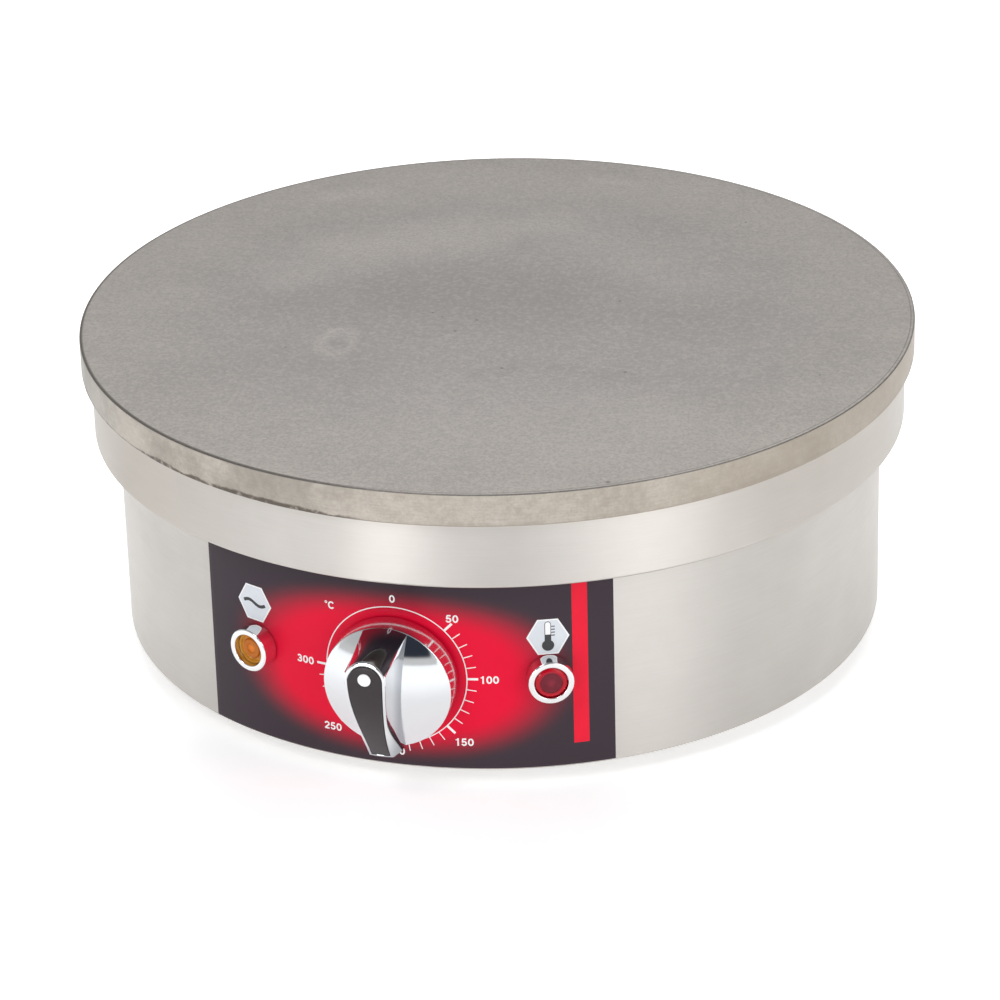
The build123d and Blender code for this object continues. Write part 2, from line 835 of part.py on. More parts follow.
def bar(inset, drop):
    """The tapered grip bar across the knob, inset on its flanks and ends, crest lowered."""
    head = bar_head_width / 2 - inset
    tail = bar_tail_width / 2 - inset
    end = 1.2 * knob_radius
    with BuildPart() as body:
        with BuildSketch(knob_plane.offset(knob_gap)):
            with BuildLine():
                Polyline(
                    (-head, end),
                    (-head, bar_shoulder),
                    (-tail, -knob_radius),
                    (-tail, -end),
                    (tail, -end),
                    (tail, -knob_radius),
                    (head, bar_shoulder),
                    (head, end),
                    close=True,
                )
            make_face()
        extrude(amount=1.2 * bar_head_height, taper=bar_draft)
        with BuildSketch(knob_plane):
            Circle(knob_radius - inset)
        extrude(amount=2 * bar_head_height, mode=Mode.INTERSECT)
        with BuildSketch(knob_side):
            with BuildLine():
                crest_arc(drop)
                Polyline(
                    (knob_radius, bar_head_height - drop),
                    (knob_radius, 0),
                    (-knob_radius, 0),
                    (-knob_radius, bar_tail_height - drop),
                )
            make_face()
        extrude(amount=knob_radius, both=True, mode=Mode.INTERSECT)
    return body.part


bar_outside = bar(0, 0)
bar_inside = bar(knob_wall, inlay_depth + knob_wall)
with BuildPart() as grip_bar:
    add(bar_outside)
    crest_face = grip_bar.faces().sort_by(Axis.Y)[0]
    fillet(crest_face.edges(), bar_edge)


def under_crest(drop, lift):
    """Close the side outline between the crest lowered by drop and the crest raised by lift."""
    crest_arc(drop)
    crest_arc(-lift)
    for end, height in ((knob_radius, bar_head_height), (-knob_radius, bar_tail_height)):
        Line((end, height + lift), (end, height - drop))


def inlay(gap, lift):
    """The slab let into the grip bar's crest, grown all round by gap and raised by lift."""
    half_tail = inlay_tail_width / 2 + gap
    head = inlay_head_radius + gap
    tail_end = -knob_radius + inlay_tail_margin - gap
    with BuildPart() as slab:
        with BuildSketch(knob_plane):
            with BuildLine():
                Polyline(
                    (-head, bar_shoulder),
                    (-half_tail, tail_end),
                    (half_tail, tail_end),
                    (head, bar_shoulder),
                )
                ThreePointArc(
                    (head, bar_shoulder), (0, bar_shoulder + head), (-head, bar_shoulder)
                )
            make_face()
        extrude(amount=2 * bar_head_height)
        with BuildSketch(knob_side):
            with BuildLine():
                under_crest(inlay_depth + gap, lift)
            make_face()
        extrude(amount=knob_radius, both=True, mode=Mode.INTERSECT)
    return slab.part


inlay_pocket = inlay(inlay_gap, bar_edge)
inlay_slab = inlay(0, 0)

cavity_radius = knob_radius - knob_wall
hub_cavity = hub_diameter / 2 + hub_clip_sheet + seat_gap
hub_bottom = knob_gap + hub_rise
hub_top = hub_bottom + hub_height
skirt_top = knob_gap + knob_skirt
cavity_top = skirt_top - knob_wall
bar_floor = skirt_top + knob_dome


def dome_profile(radius, low, rim, rise):
    """Half profile of a domed disc: a straight rim and a shallow crown over it."""
    dome_radius = (radius**2 + rise**2) / (2 * rise)
    half_way = radius / 2
    half_rise = sqrt(dome_radius**2 - half_way**2) - (dome_radius - rise)
    Polyline((0, rim + rise), (0, low), (radius, low), (radius, rim))
    ThreePointArc((radius, rim), (half_way, rim + half_rise), (0, rim + rise))


with BuildPart() as knob_cavity:
    with BuildSketch(knob_turning):
        with BuildLine():
            dome_profile(cavity_radius, 0, cavity_top, knob_dome)
        make_face()
    revolve(axis=knob_axis)
    add(bar_inside)
    with BuildSketch(knob_plane.offset(bar_floor)):
        Circle(hub_cavity + knob_wall / 2)
    extrude(amount=bar_head_height, mode=Mode.SUBTRACT)
    with BuildSketch(knob_plane):
        Circle(hub_cavity)
    extrude(amount=hub_top + seat_gap)

with BuildPart() as knob_shell:
    with BuildSketch(knob_turning) as knob_half:
        with BuildLine():
            dome_profile(knob_radius, knob_gap, skirt_top, knob_dome)
        make_face()
        fillet(knob_half.vertices().group_by(Axis.X)[-1].sort_by(Axis.Y)[-1], bar_edge)
    revolve(axis=knob_axis)
    add(grip_bar.part)
    add(inlay_pocket, mode=Mode.SUBTRACT)
    add(knob_cavity.part, mode=Mode.SUBTRACT)
knob_shell.part.label = "knob_shell"
export_step(knob_shell.part, "parts/knob_shell.step")

with BuildPart() as knob_dot:
    with BuildSketch(knob_plane):
        with Locations((0, bar_shoulder)):
            Circle(dot_diameter / 2)
    extrude(amount=2 * bar_head_height)
    with BuildSketch(knob_side):
        with BuildLine():
            under_crest(dot_depth, 0)
        make_face()
    extrude(amount=knob_radius, both=True, mode=Mode.INTERSECT)
knob_dot.part.label = "knob_dot"
export_step(knob_dot.part, "parts/knob_dot.step")

with BuildPart() as knob_insert:
    add(inlay_slab)
    add(knob_dot.part, mode=Mode.SUBTRACT)
knob_insert.part.label = "knob_insert"
export_step(knob_insert.part, "parts/knob_insert.step")


def shaft_section(gap):
    """The shaft's round section with one flat, grown all round by gap."""
    radius = shaft_diameter / 2 + gap
    Circle(radius)
    with Locations((0, radius + shaft_flat + gap)):
        Rectangle(2 * radius, 2 * radius, mode=Mode.SUBTRACT)


with BuildPart() as knob_core:
    core_radius = cavity_radius - seat_gap
    turned(
        [
            (0, hub_bottom),
            (core_radius, hub_bottom),
            (core_radius, cavity_top - seat_gap),
            (core_radius - knob_wall, cavity_top - seat_gap),
            (core_radius - knob_wall, hub_bottom + hub_disc),
            (hub_diameter / 2, hub_bottom + hub_disc),
            (hub_diameter / 2, hub_top),
            (0, hub_top),
        ],
        knob_turning,
        knob_axis,
    )
    with BuildSketch(knob_plane.offset(hub_bottom)):
        shaft_section(thread_gap)
    extrude(amount=shaft_reach - hub_bottom + seat_gap, mode=Mode.SUBTRACT)
knob_core.part.label = "knob_core"
export_step(knob_core.part, "parts/knob_core.step")

with BuildPart() as hub_clip:
    with BuildSketch(knob_plane.offset(hub_bottom + hub_disc + hub_clip_width)):
        Circle(hub_diameter / 2 + hub_clip_sheet)
        Circle(hub_diameter / 2 + thread_gap, mode=Mode.SUBTRACT)
        with BuildLine(mode=Mode.PRIVATE) as mouth:
            reach = hub_diameter
            side = reach * tan(radians(hub_clip_mouth / 2))
            Polyline((0, 0), (-side, -reach), (side, -reach), close=True)
        make_face(mouth.edges(), mode=Mode.SUBTRACT)
    extrude(amount=hub_clip_width)
hub_clip.part.label = "hub_clip"
export_step(hub_clip.part, "parts/hub_clip.step")

shaft_tail = thermostat_face + thermostat_depth / 2
with BuildPart() as thermostat_shaft:
    with BuildSketch(knob_plane.offset(-(label_radius + shaft_tail))):
        Circle(shaft_diameter / 2)
    extrude(amount=label_radius + shaft_tail + hub_bottom - seat_gap)
    with BuildSketch(knob_plane.offset(hub_bottom - seat_gap)):
        shaft_section(0)
    extrude(amount=shaft_reach - hub_bottom + seat_gap)
thermostat_shaft.part.label = "thermostat_shaft"
export_step(thermostat_shaft.part, "parts/thermostat_shaft.step")

# ---------------------------------------------------------------- thermostat
with BuildPart() as thermostat_bracket:
    with BuildSketch(Plane.XY.offset(dial_level - mount_height / 2)):
        with Locations((0, mount_face + mount_sheet / 2)):
            Rectangle(mount_width, mount_sheet)
        for side in (-1, 1):
            with Locations((side * (mount_width - mount_sheet) / 2, mount_face)):
                Rectangle(
                    mount_sheet, 2 * bracket_standoff, align=(Align.CENTER, Align.MAX)
                )
    extrude(amount=mount_height)
    with BuildSketch(Plane.XY.offset(dial_level - mount_height / 2)):
        Circle(shell_inner_radius - seat_gap)
    extrude(amount=mount_height, mode=Mode.INTERSECT)
    with BuildSketch(panel_plane(0, -thermostat_face, dial_level)):
        Circle(bushing_diameter / 2 + hole_gap)
        with GridLocations(thermostat_screw_spacing, 0, 2, 1):
            Circle(thermostat_screw_diameter / 2 + hole_gap)
    extrude(amount=mount_sheet, mode=Mode.SUBTRACT)
thermostat_bracket.part.label = "thermostat_bracket"
export_step(thermostat_bracket.part, "parts/thermostat_bracket.step")

with BuildPart() as thermostat_body:
    with BuildSketch(panel_plane(0, -thermostat_back, dial_level)):
        RectangleRounded(thermostat_width, thermostat_height, 3.0)
    extrude(amount=thermostat_depth)
    with BuildSketch(panel_plane(0, -thermostat_face, dial_level)):
        Circle(bushing_diameter / 2)
    extrude(amount=bushing_length)
    with BuildSketch(panel_plane(0, -(shaft_tail + seat_gap), dial_level)):
        Circle(shaft_diameter / 2 + running_gap)
    extrude(amount=thermostat_depth, mode=Mode.SUBTRACT)
    with BuildSketch(panel_plane(0, -thermostat_face, dial_level)):
        with GridLocations(thermostat_screw_spacing, 0, 2, 1):
            Circle(thermostat_screw_diameter / 2 + thread_gap)
    extrude(amount=-thermostat_depth / 4, mode=Mode.SUBTRACT)
thermostat_body.part.label = "thermostat_body"
export_step(thermostat_body.part, "parts/thermostat_body.step")

with BuildPart() as thermostat_screws:
    with BuildSketch(panel_plane(0, -mount_face, dial_level)):
        with GridLocations(thermostat_screw_spacing, 0, 2, 1):
            Circle(thermostat_head_diameter / 2)
    extrude(amount=thermostat_head_height)
    with BuildSketch(panel_plane(0, -mount_face, dial_level)):
        with GridLocations(thermostat_screw_spacing, 0, 2, 1):
            Circle(thermostat_screw_diameter / 2)
    extrude(amount=-(mount_sheet + thermostat_depth / 4 - seat_gap))
thermostat_screws.part.label = "thermostat_screws"
export_step(thermostat_screws.part, "parts/thermostat_screws.step")

blade_x = thermostat_width / 4
supply_blade = (-blade_x, thermostat_back, dial_level - thermostat_height / 5)
heater_blade = (blade_x, thermostat_back, dial_level + thermostat_height / 8)
with BuildPart() as thermostat_blades:
    for x, _, level in (supply_blade, heater_blade):
        with BuildSketch(panel_plane(0, -thermostat_back, level)):
            with Locations((x, 0)):
                Rectangle(blade_sheet, blade_width)
        extrude(amount=-blade_length)
thermostat_blades.part.label = "thermostat_blades"
export_step(thermostat_blades.part, "parts/thermostat_blades.step")

capillary_socket = (-blade_x, thermostat_back, dial_level + thermostat_height / 3)
with BuildPart() as thermostat_capillary:
    run_lead(
        "capillary",
        [
            (-bulb_length / 2, 0, bulb_level),
            (capillary_spot[0], 0, bulb_level),
            (capillary_spot[0], 0, shield_bottom - 2 * capillary_bend),
            (capillary_socket[0], thermostat_back + 30, capillary_socket[2]),
            capillary_socket,
        ],
        capillary_diameter,
    )
thermostat_capillary.part.label = "thermostat_capillary"
export_step(thermostat_capillary.part, "parts/thermostat_capillary.step")

# ---------------------------------------------------------------- pilot lamps
lens_seat = bezel_height - bezel_recess
bezel_back = thread_gap
nut_face = -(wall_behind_label + wall_gap)
neck_back = -lamp_neck_length
bezel_profile = [
    (lamp_neck_diameter / 2 + seat_gap, bezel_back),
    (bezel_diameter / 2, bezel_back),
    (bezel_diameter / 2, bezel_height - bezel_edge),
    (bezel_diameter / 2 - bezel_edge, bezel_height),
    (bezel_bore / 2 + bezel_edge / 2, bezel_height),
    (bezel_bore / 2, bezel_height - bezel_edge / 2),
    (bezel_bore / 2, lens_seat),
    (lamp_neck_diameter / 2 + seat_gap, lens_seat),
]
lens_radius = bezel_bore / 2 - seat_gap
step_radius = lens_step_diameter / 2
lens_profile = [
    (0, lens_seat),
    (lens_radius, lens_seat),
    (lens_radius, lens_seat + lens_rim),
    (step_radius, lens_seat + lens_rim),
    (step_radius - lens_step / 2, lens_seat + lens_rim + lens_step),
    (0, lens_seat + lens_rim + lens_step),
]
neck_profile = [
    (0, neck_back),
    (lamp_neck_diameter / 2, neck_back),
    (lamp_neck_diameter / 2, lens_seat),
    (0, lens_seat),
]

for side_name, side in (("left", -1), ("right", 1)):
    angle = side * lamp_angle
    lamp_turning = turning_plane(angle, label_radius, lamp_level)
    lamp_axis = panel_axis(angle, label_radius, lamp_level)

    with BuildPart() as lamp_bezel:
        turned(bezel_profile, lamp_turning, lamp_axis)
    lamp_bezel.part.label = f"{side_name}_lamp_bezel"
    export_step(lamp_bezel.part, f"parts/{side_name}_lamp_bezel.step")

    with BuildPart() as lamp_lens:
        turned(lens_profile, lamp_turning, lamp_axis)
    lamp_lens.part.label = f"{side_name}_lamp_lens"
    export_step(lamp_lens.part, f"parts/{side_name}_lamp_lens.step")

with BuildPart() as lamp_housings:
    for side in (-1, 1):
        angle = side * lamp_angle
        turned(
            neck_profile,
            turning_plane(angle, label_radius, lamp_level),
            panel_axis(angle, label_radius, lamp_level),
        )
lamp_housings.part.label = "lamp_housings"
export_step(lamp_housings.part, "parts/lamp_housings.step")

with BuildPart() as lamp_nuts:
    for side in (-1, 1):
        with BuildSketch(panel_plane(side * lamp_angle, label_radius + nut_face, lamp_level)):
            RegularPolygon(lamp_nut_flats / 2, 6, major_radius=False)
            Circle(lamp_neck_diameter / 2 + thread_gap, mode=Mode.SUBTRACT)
        extrude(amount=-lamp_nut_height)
lamp_nuts.part.label = "lamp_nuts"
export_step(lamp_nuts.part, "parts/lamp_nuts.step")

with BuildPart() as lamp_blades:
    for side in (-1, 1):
        with BuildSketch(panel_plane(side * lamp_angle, label_radius + neck_back, lamp_level)):
            with GridLocations(0, lamp_blade_spacing, 1, 2):
                Rectangle(lamp_blade_width, lamp_blade_sheet)
        extrude(amount=-lamp_blade_length)
lamp_blades.part.label = "lamp_blades"
export_step(lamp_blades.part, "parts/lamp_blades.step")

# ---------------------------------------------------------------- cable gland
gland_plane = panel_plane(180, body_radius, gland_level)
with BuildPart() as cable_gland:
    with BuildSketch(gland_plane.offset(wall_gap)):
        RegularPolygon(gland_flats / 2, 6, major_radius=False)
    extrude(amount=gland_flange)
    with BuildSketch(gland_plane.offset(-gland_inside)):
        Circle(gland_thread_diameter / 2)
    extrude(amount=gland_inside + wall_gap)
    with BuildSketch(gland_plane.offset(-gland_inside)):
        Circle(gland_bore / 2)
    extrude(amount=gland_inside + wall_gap + gland_flange, mode=Mode.SUBTRACT)
cable_gland.part.label = "cable_gland"
export_step(cable_gland.part, "parts/cable_gland.step")

cap_base = wall_gap + gland_flange
with BuildPart() as gland_cap:
    turned(
        [
            (gland_bore / 2, cap_base),
            (gland_cap_diameter / 2, cap_base),
            (gland_cap_diameter / 2, cap_base + gland_cap_length / 2),
            (gland_bore / 2 + 2.0, cap_base + gland_cap_length),
            (gland_bore / 2, cap_base + gland_cap_length),
        ],
        turning_plane(180, body_radius, gland_level),
        panel_axis(180, body_radius, gland_level),
    )
gland_cap.part.label = "gland_cap"
export_step(gland_cap.part, "parts/gland_cap.step")

with BuildPart() as gland_nut:
    with BuildSketch(gland_plane.offset(-(body_sheet + 2 * wall_gap + gland_nut_height))):
        RegularPolygon(gland_flats / 2, 6, major_radius=False)
        Circle(gland_thread_diameter / 2 + thread_gap, mode=Mode.SUBTRACT)
    extrude(amount=gland_nut_height)
gland_nut.part.label = "gland_nut"
export_step(gland_nut.part, "parts/gland_nut.step")

# ---------------------------------------------------------------- mains terminals
tray_length = block_length + 2 * block_tray_margin + 2 * tray_head_diameter
tray_screw_reach = block_length + block_tray_margin + tray_head_diameter
tray_spots = [(side * tray_screw_reach / 2, block_distance) for side in (-1, 1)]
pole_xs = [(i - (block_poles - 1) / 2) * block_pitch for i in range(block_poles)]
pole_spots = [(x, block_distance) for x in pole_xs]

with BuildPart() as terminal_tray:
    with BuildSketch(Plane.XY.offset(base_top)):
        with Locations((0, block_distance)):
            Rectangle(tray_length, block_depth + 2 * block_tray_margin)
        with Locations(*tray_spots):
            Circle(tray_screw_diameter / 2 + thread_gap, mode=Mode.SUBTRACT)
    extrude(amount=block_tray_sheet)
terminal_tray.part.label = "terminal_tray"
export_step(terminal_tray.part, "parts/terminal_tray.step")

with BuildPart() as tray_screws:
    posts(tray_spots, tray_screw_diameter, base_top, tray_top)
    posts(tray_spots, tray_head_diameter, tray_top, tray_top + tray_head_height)
tray_screws.part.label = "tray_screws"
export_step(tray_screws.part, "parts/tray_screws.step")

pole_depth = block_height / 3
with BuildPart() as terminal_block:
    with BuildSketch(Plane.XY.offset(tray_top)):
        with Locations((0, block_distance)):
            RectangleRounded(block_length, block_depth, 2.0)
    extrude(amount=block_height)
    posts(
        pole_spots,
        block_screw_diameter + 2 * thread_gap,
        block_top - pole_depth,
        block_top,
        Mode.SUBTRACT,
    )
terminal_block.part.label = "terminal_block"
export_step(terminal_block.part, "parts/terminal_block.step")

with BuildPart() as terminal_screws:
    posts(pole_spots, block_screw_diameter, block_top - pole_depth, block_top - pole_depth / 4)
terminal_screws.part.label = "terminal_screws"
export_step(terminal_screws.part, "parts/terminal_screws.step")

with BuildPart() as earth_stud:
    posts([earth_spot], earth_stud_diameter, base_bottom, base_bottom + earth_stud_length)
earth_stud.part.label = "earth_stud"
export_step(earth_stud.part, "parts/earth_stud.step")

earth_bore = earth_stud_diameter + 2 * thread_gap
upper_nut = base_top + earth_nut_height + washer_sheet
with BuildPart() as earth_nuts:
    hex_nuts([earth_spot], earth_nut_flats, earth_bore, base_top, base_top + earth_nut_height)
    hex_nuts([earth_spot], earth_nut_flats, earth_bore, upper_nut, upper_nut + earth_nut_height)
earth_nuts.part.label = "earth_nuts"
export_step(earth_nuts.part, "parts/earth_nuts.step")

with BuildPart() as earth_tag:
    washers(
        [earth_spot],
        1.3 * earth_nut_flats,
        earth_bore,
        base_top + earth_nut_height,
        upper_nut,
    )
earth_tag.part.label = "earth_tag"
export_step(earth_tag.part, "parts/earth_tag.step")

# ---------------------------------------------------------------- internal leads
floor_level = base_top + 2 * lead_diameter
lamp_back = label_radius + neck_back - lamp_blade_length


def lamp_lead(side, pole_x, rise):
    """Route from a pole of the terminal block to the upper or lower blade of a pilot lamp."""
    a = radians(side * lamp_angle)
    blade = (lamp_back * sin(a), -lamp_back * cos(a), lamp_level + rise * lamp_blade_spacing / 2)
    lane = rise * lead_diameter
    near = 0.86
    return [
        (pole_x, block_front, lead_level),
        (pole_x, block_front - 30, lead_level),
        (pole_x + 10 * side, 20, floor_level),
        (blade[0] * 0.7 + lane, -60, floor_level + 4),
        (near * blade[0], near * blade[1], blade[2]),
        blade,
    ]


for side_name, side, poles in (("left", -1, (0, 1)), ("right", 1, (4, 5))):
    with BuildPart() as lamp_leads:
        for pole, rise in zip(poles, (-1, 1)):
            run_lead(
                f"{side_name} lamp lead", lamp_lead(side, pole_xs[pole], rise), lead_diameter
            )
    lamp_leads.part.label = f"{side_name}_lamp_leads"
    export_step(lamp_leads.part, f"parts/{side_name}_lamp_leads.step")

with BuildPart() as supply_lead:
    run_lead(
        "supply lead",
        [
            (pole_xs[2], block_front, lead_level),
            (pole_xs[2], block_front - 35, lead_level),
            (pole_xs[2] - 6, 0, floor_level),
            (supply_blade[0], thermostat_back + 50, supply_blade[2]),
            (supply_blade[0], thermostat_back + blade_length, supply_blade[2]),
        ],
        lead_diameter,
    )
supply_lead.part.label = "supply_lead"
export_step(supply_lead.part, "parts/supply_lead.step")

with BuildPart() as heater_lead:
    run_lead(
        "heater lead",
        [
            (heater_blade[0], thermostat_back + blade_length, heater_blade[2]),
            (heater_blade[0], inner_leg[1], heater_blade[2]),
            (*inner_leg, cold_leg_bottom - 16),
            (*inner_leg, cold_leg_bottom),
        ],
        lead_diameter,
    )
heater_lead.part.label = "heater_lead"
export_step(heater_lead.part, "parts/heater_lead.step")

with BuildPart() as return_lead:
    run_lead(
        "return lead",
        [
            (pole_xs[3], block_front, lead_level),
            (pole_xs[3], block_front - 35, lead_level),
            (pole_xs[3] + 12, 0, floor_level + 6),
            (outer_leg[0] - 4, outer_leg[1] + 40, floor_level + 40),
            (*outer_leg, cold_leg_bottom - 18),
            (*outer_leg, cold_leg_bottom),
        ],
        lead_diameter,
    )
return_lead.part.label = "return_lead"
export_step(return_lead.part, "parts/return_lead.step")
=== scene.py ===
"""Electric crepe maker: the finish of every surface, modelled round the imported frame.

The origin is on the griddle's axis on the surface that the feet stand on, +Z is up and
the front with the knob faces -Y. Every size is in metres. Places on the front label are
given as the arc across from the knob's middle line and the height above the knob's axis.
"""

import json
import math

import bmesh
import bpy
from bpy.props import FloatProperty, FloatVectorProperty, PointerProperty
from mathutils import Matrix, Vector


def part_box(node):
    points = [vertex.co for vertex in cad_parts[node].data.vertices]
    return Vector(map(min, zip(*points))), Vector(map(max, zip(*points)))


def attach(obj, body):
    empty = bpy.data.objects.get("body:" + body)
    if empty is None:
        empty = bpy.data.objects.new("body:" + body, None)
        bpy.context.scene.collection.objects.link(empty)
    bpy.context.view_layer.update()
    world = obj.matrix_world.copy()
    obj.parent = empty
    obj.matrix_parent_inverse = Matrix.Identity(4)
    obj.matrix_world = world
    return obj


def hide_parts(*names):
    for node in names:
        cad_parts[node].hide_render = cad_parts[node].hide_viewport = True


bl_info = {
    "name": "Electric crepe maker",
    "version": (1, 0, 0),
    "blender": (4, 5, 0),
    "location": "View3D > Sidebar > Crepe Maker",
    "description": "Builds the griddle, the steel body, the printed front, the lamps and the knob",
    "category": "Add Mesh",
}

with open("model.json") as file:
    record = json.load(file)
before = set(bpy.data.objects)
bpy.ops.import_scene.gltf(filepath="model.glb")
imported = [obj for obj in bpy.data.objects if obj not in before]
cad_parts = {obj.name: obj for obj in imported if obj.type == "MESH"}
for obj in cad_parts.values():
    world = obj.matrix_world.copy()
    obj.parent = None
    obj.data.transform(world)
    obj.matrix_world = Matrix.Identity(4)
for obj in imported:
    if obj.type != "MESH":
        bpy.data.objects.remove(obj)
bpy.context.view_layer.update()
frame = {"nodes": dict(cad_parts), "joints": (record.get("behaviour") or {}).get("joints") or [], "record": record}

BASE = "base"
KNOB = "knob"
QUARTER = math.pi / 2
SLACK = 1e-6              # places nearer than this count as one
HAIR = 0.0001             # small step that keeps two edges or two pieces apart
TURN_STEPS = 360          # facets round the large turned pieces
SMALL_TURN_STEPS = 96     # facets round the lamps and the index dot
CORNER_STEPS = 4          # facets in a rounded corner
FACE_RINGS = 16           # rings across the cooking face
WALL_LEVELS = 12          # levels up the body and the label
LABEL_COLUMNS = 72        # columns across the label
SLICE = 0.002             # width of the slices in which print follows the body's curve
FINE_SLICE = 0.001        # the same for the numerals
HOLE_CELLS = 6            # cells across the square patch round a hole
HOLE_PATCH = 1.5          # that patch's half width over the hole's radius
SHAFT_HOLE = 0.0060       # radius of the hole for the thermostat's shaft
LAMP_HOLE = 0.0065        # radius of the holes for the lamps
GLAND_HOLE = 0.0102       # radius of the hole for the cable gland


# ------------------------------------------------------------------ settings

def length(name, description, default, low=0.0):
    """A size in metres that a user may change."""
    return FloatProperty(
        name=name, description=description, default=default, min=low, unit="LENGTH", precision=5
    )


def angle(name, description, degrees):
    """An angle that a user may change."""
    return FloatProperty(
        name=name, description=description, default=math.radians(degrees), subtype="ANGLE"
    )


def share(name, description, default):
    """A number from nothing to full."""
    return FloatProperty(
        name=name, description=description, default=default, min=0.0, max=1.0, subtype="FACTOR"
    )


def number(name, description, default):
    """A plain number that a user may change."""
    return FloatProperty(name=name, description=description, default=default)


def colour(name, description, *tone):
    """A surface colour in linear light."""
    limits = {"size": 4, "min": 0.0, "max": 1.0, "subtype": "COLOR"}
    return FloatVectorProperty(name=name, description=description, default=(*tone, 1.0), **limits)


class GriddleSettings(bpy.types.PropertyGroup):
    """The cast-iron plate."""

    edge: length("Edge", "Broken edge round the plate", 0.0009)
    waviness: length("Waviness", "How far the machined face strays from flat", 0.00003)
    face: colour("Face", "Machined cooking face", 0.212, 0.199, 0.190)
    tint: colour("Edge Tint", "Oil tint towards the plate's edge", 0.247, 0.227, 0.205)
    rim: colour("Rim", "Turned outside of the plate", 0.480, 0.440, 0.390)
    roughness: share("Roughness", "Roughness of the machined face", 0.42)


class SteelSettings(bpy.types.PropertyGroup):
    """The stainless collar and body."""

    body_sheet: length("Body Sheet", "Thickness of the body's sheet", 0.001)
    collar_sheet: length("Collar Sheet", "Thickness of the collar's sheet", 0.0012)
    body_fold: length("Body Fold", "Outside radius of the body's lower fold", 0.001)
    collar_fold: length("Collar Fold", "Outside radius of the collar's folds", 0.0016)
    tone: colour("Steel", "Brushed stainless sheet", 0.60, 0.570, 0.535)
    collar_tone: colour("Collar Steel", "Satin stainless sheet of the collar", 0.66, 0.626, 0.588)
    roughness: share("Roughness", "Roughness along the brushed lines", 0.40)


class LabelSettings(bpy.types.PropertyGroup):
    """The printed film on the front."""

    film: length("Film", "Thickness of the film", 0.0003)
    ink: length("Ink", "How far the print stands on the film", 0.00004)
    glow_width: length("Glow Width", "Half the width of the red field", 0.0735)
    glow_height: length("Glow Height", "Half the height of the red field", 0.0380)
    glow_across: length("Glow Across", "Arc from the knob to the red field's middle", -0.0010, -0.1)
    ground: colour("Ground", "Dark ground of the film", 0.047, 0.034, 0.043)
    glow: colour("Glow", "Red field round the dial", 0.735, 0.004, 0.034)
    stripe: colour("Stripe", "Red stripe at the right", 0.730, 0.010, 0.034)
    white: colour("White Ink", "Dial, numerals and edges of the panels", 0.80, 0.80, 0.80)
    panel: colour("Panel Ink", "Pale ground of the two panels", 0.62, 0.645, 0.685)
    icon: colour("Icon Ink", "Dark figures on the panels", 0.055, 0.055, 0.058)
    stripe_left: length("Stripe Left", "Arc from the knob to the stripe", 0.0816)
    stripe_width: length("Stripe Width", "Width of the stripe", 0.0072)
    stripe_foot: length("Stripe Foot", "Ground left bare under the stripe", 0.0110)
    mains_across: length("Mains Across", "Arc from the knob to the left panel's middle", 0.0724)
    mains_up: length("Mains Up", "Left panel's middle above the knob's axis", 0.0217)
    heat_across: length("Heat Across", "Arc from the knob to the right panel's middle", 0.0705)
    heat_up: length("Heat Up", "Right panel's middle above the knob's axis", 0.0205)
    panel_width: length("Panel Width", "Panel from point to point", 0.0197)
    panel_height: length("Panel Height", "Panel from flat to flat", 0.0178)
    panel_edge: length("Panel Edge", "White edge of a panel", 0.0007)


class DialSettings(bpy.types.PropertyGroup):
    """The printed scale round the knob."""

    ring: length("Ring", "Radius of the scale's line", 0.0345)
    line: length("Line", "Width of the scale's line", 0.0005)
    long_tick: length("Long Tick", "Length of the ticks at the numerals", 0.0053)
    short_tick: length("Short Tick", "Length of the ticks between", 0.0048)
    long_tick_width: length("Long Tick Width", "Width of the ticks at the numerals", 0.00115)
    short_tick_width: length("Short Tick Width", "Width of the ticks between", 0.00045)
    numeral: length("Numeral", "Height of the numerals", 0.0039)
    squeeze: share("Squeeze", "Width of the scale over its height", 0.967)
    step: angle("Step", "Turn from one numeral to the next", 45.0)


class LampSettings(bpy.types.PropertyGroup):
    """The two pilot lamps."""

    face: length("Face", "Width of the bezel's flat ring", 0.0027)
    edge: length("Edge", "Rounding of the bezel's inner edge", 0.0004)
    shoulder: length("Shoulder", "Rounding of the bezel's outer edge", 0.0007)
    foot: length("Foot", "Undercut at the bezel's foot", 0.0004)
    amber_seat: length("Amber Seat", "Depth of the amber lens below the bezel's face", 0.0030)
    red_seat: length("Red Seat", "Depth of the red lens's edge below the bezel's face", 0.0020)
    amber: colour("Amber", "Outer ring of the unlit amber lens", 0.60, 0.26, 0.022)
    amber_disc: colour("Amber Disc", "Middle of the unlit amber lens", 0.50, 0.135, 0.006)
    red: colour("Red", "Outer ring of the unlit red lens", 0.50, 0.003, 0.016)
    red_disc: colour("Red Disc", "Middle of the unlit red lens", 0.150, 0.010, 0.022)


class KnobSettings(bpy.types.PropertyGroup):
    """The chrome thermostat knob."""

    rim: length("Rim", "Radius of the knob", 0.0300)
    skirt: length("Skirt", "Top of the straight side over the label", 0.0122)
    gap: length("Gap", "Clear of the label under the skirt", 0.0010)
    dome: length("Dome", "Rise of the side faces over the skirt", 0.0075)
    wall: length("Wall", "Thickness of the plated shell", 0.0018)
    edge: length("Edge", "Rounding of the grip bar's edges", 0.0005)
    border: length("Border", "Chrome left round the inlay", 0.0013)
    groove: length("Groove", "Gap round the inlay", 0.00025)
    dot: length("Dot", "Radius of the index dot", 0.0030)
    dot_up: length("Dot Place", "Index dot above the knob's axis", 0.0210)
    chrome: colour("Chrome", "Plated shell of the knob", 0.74, 0.755, 0.77)
    inlay: colour("Inlay", "Dark insert in the grip bar", 0.036, 0.029, 0.031)


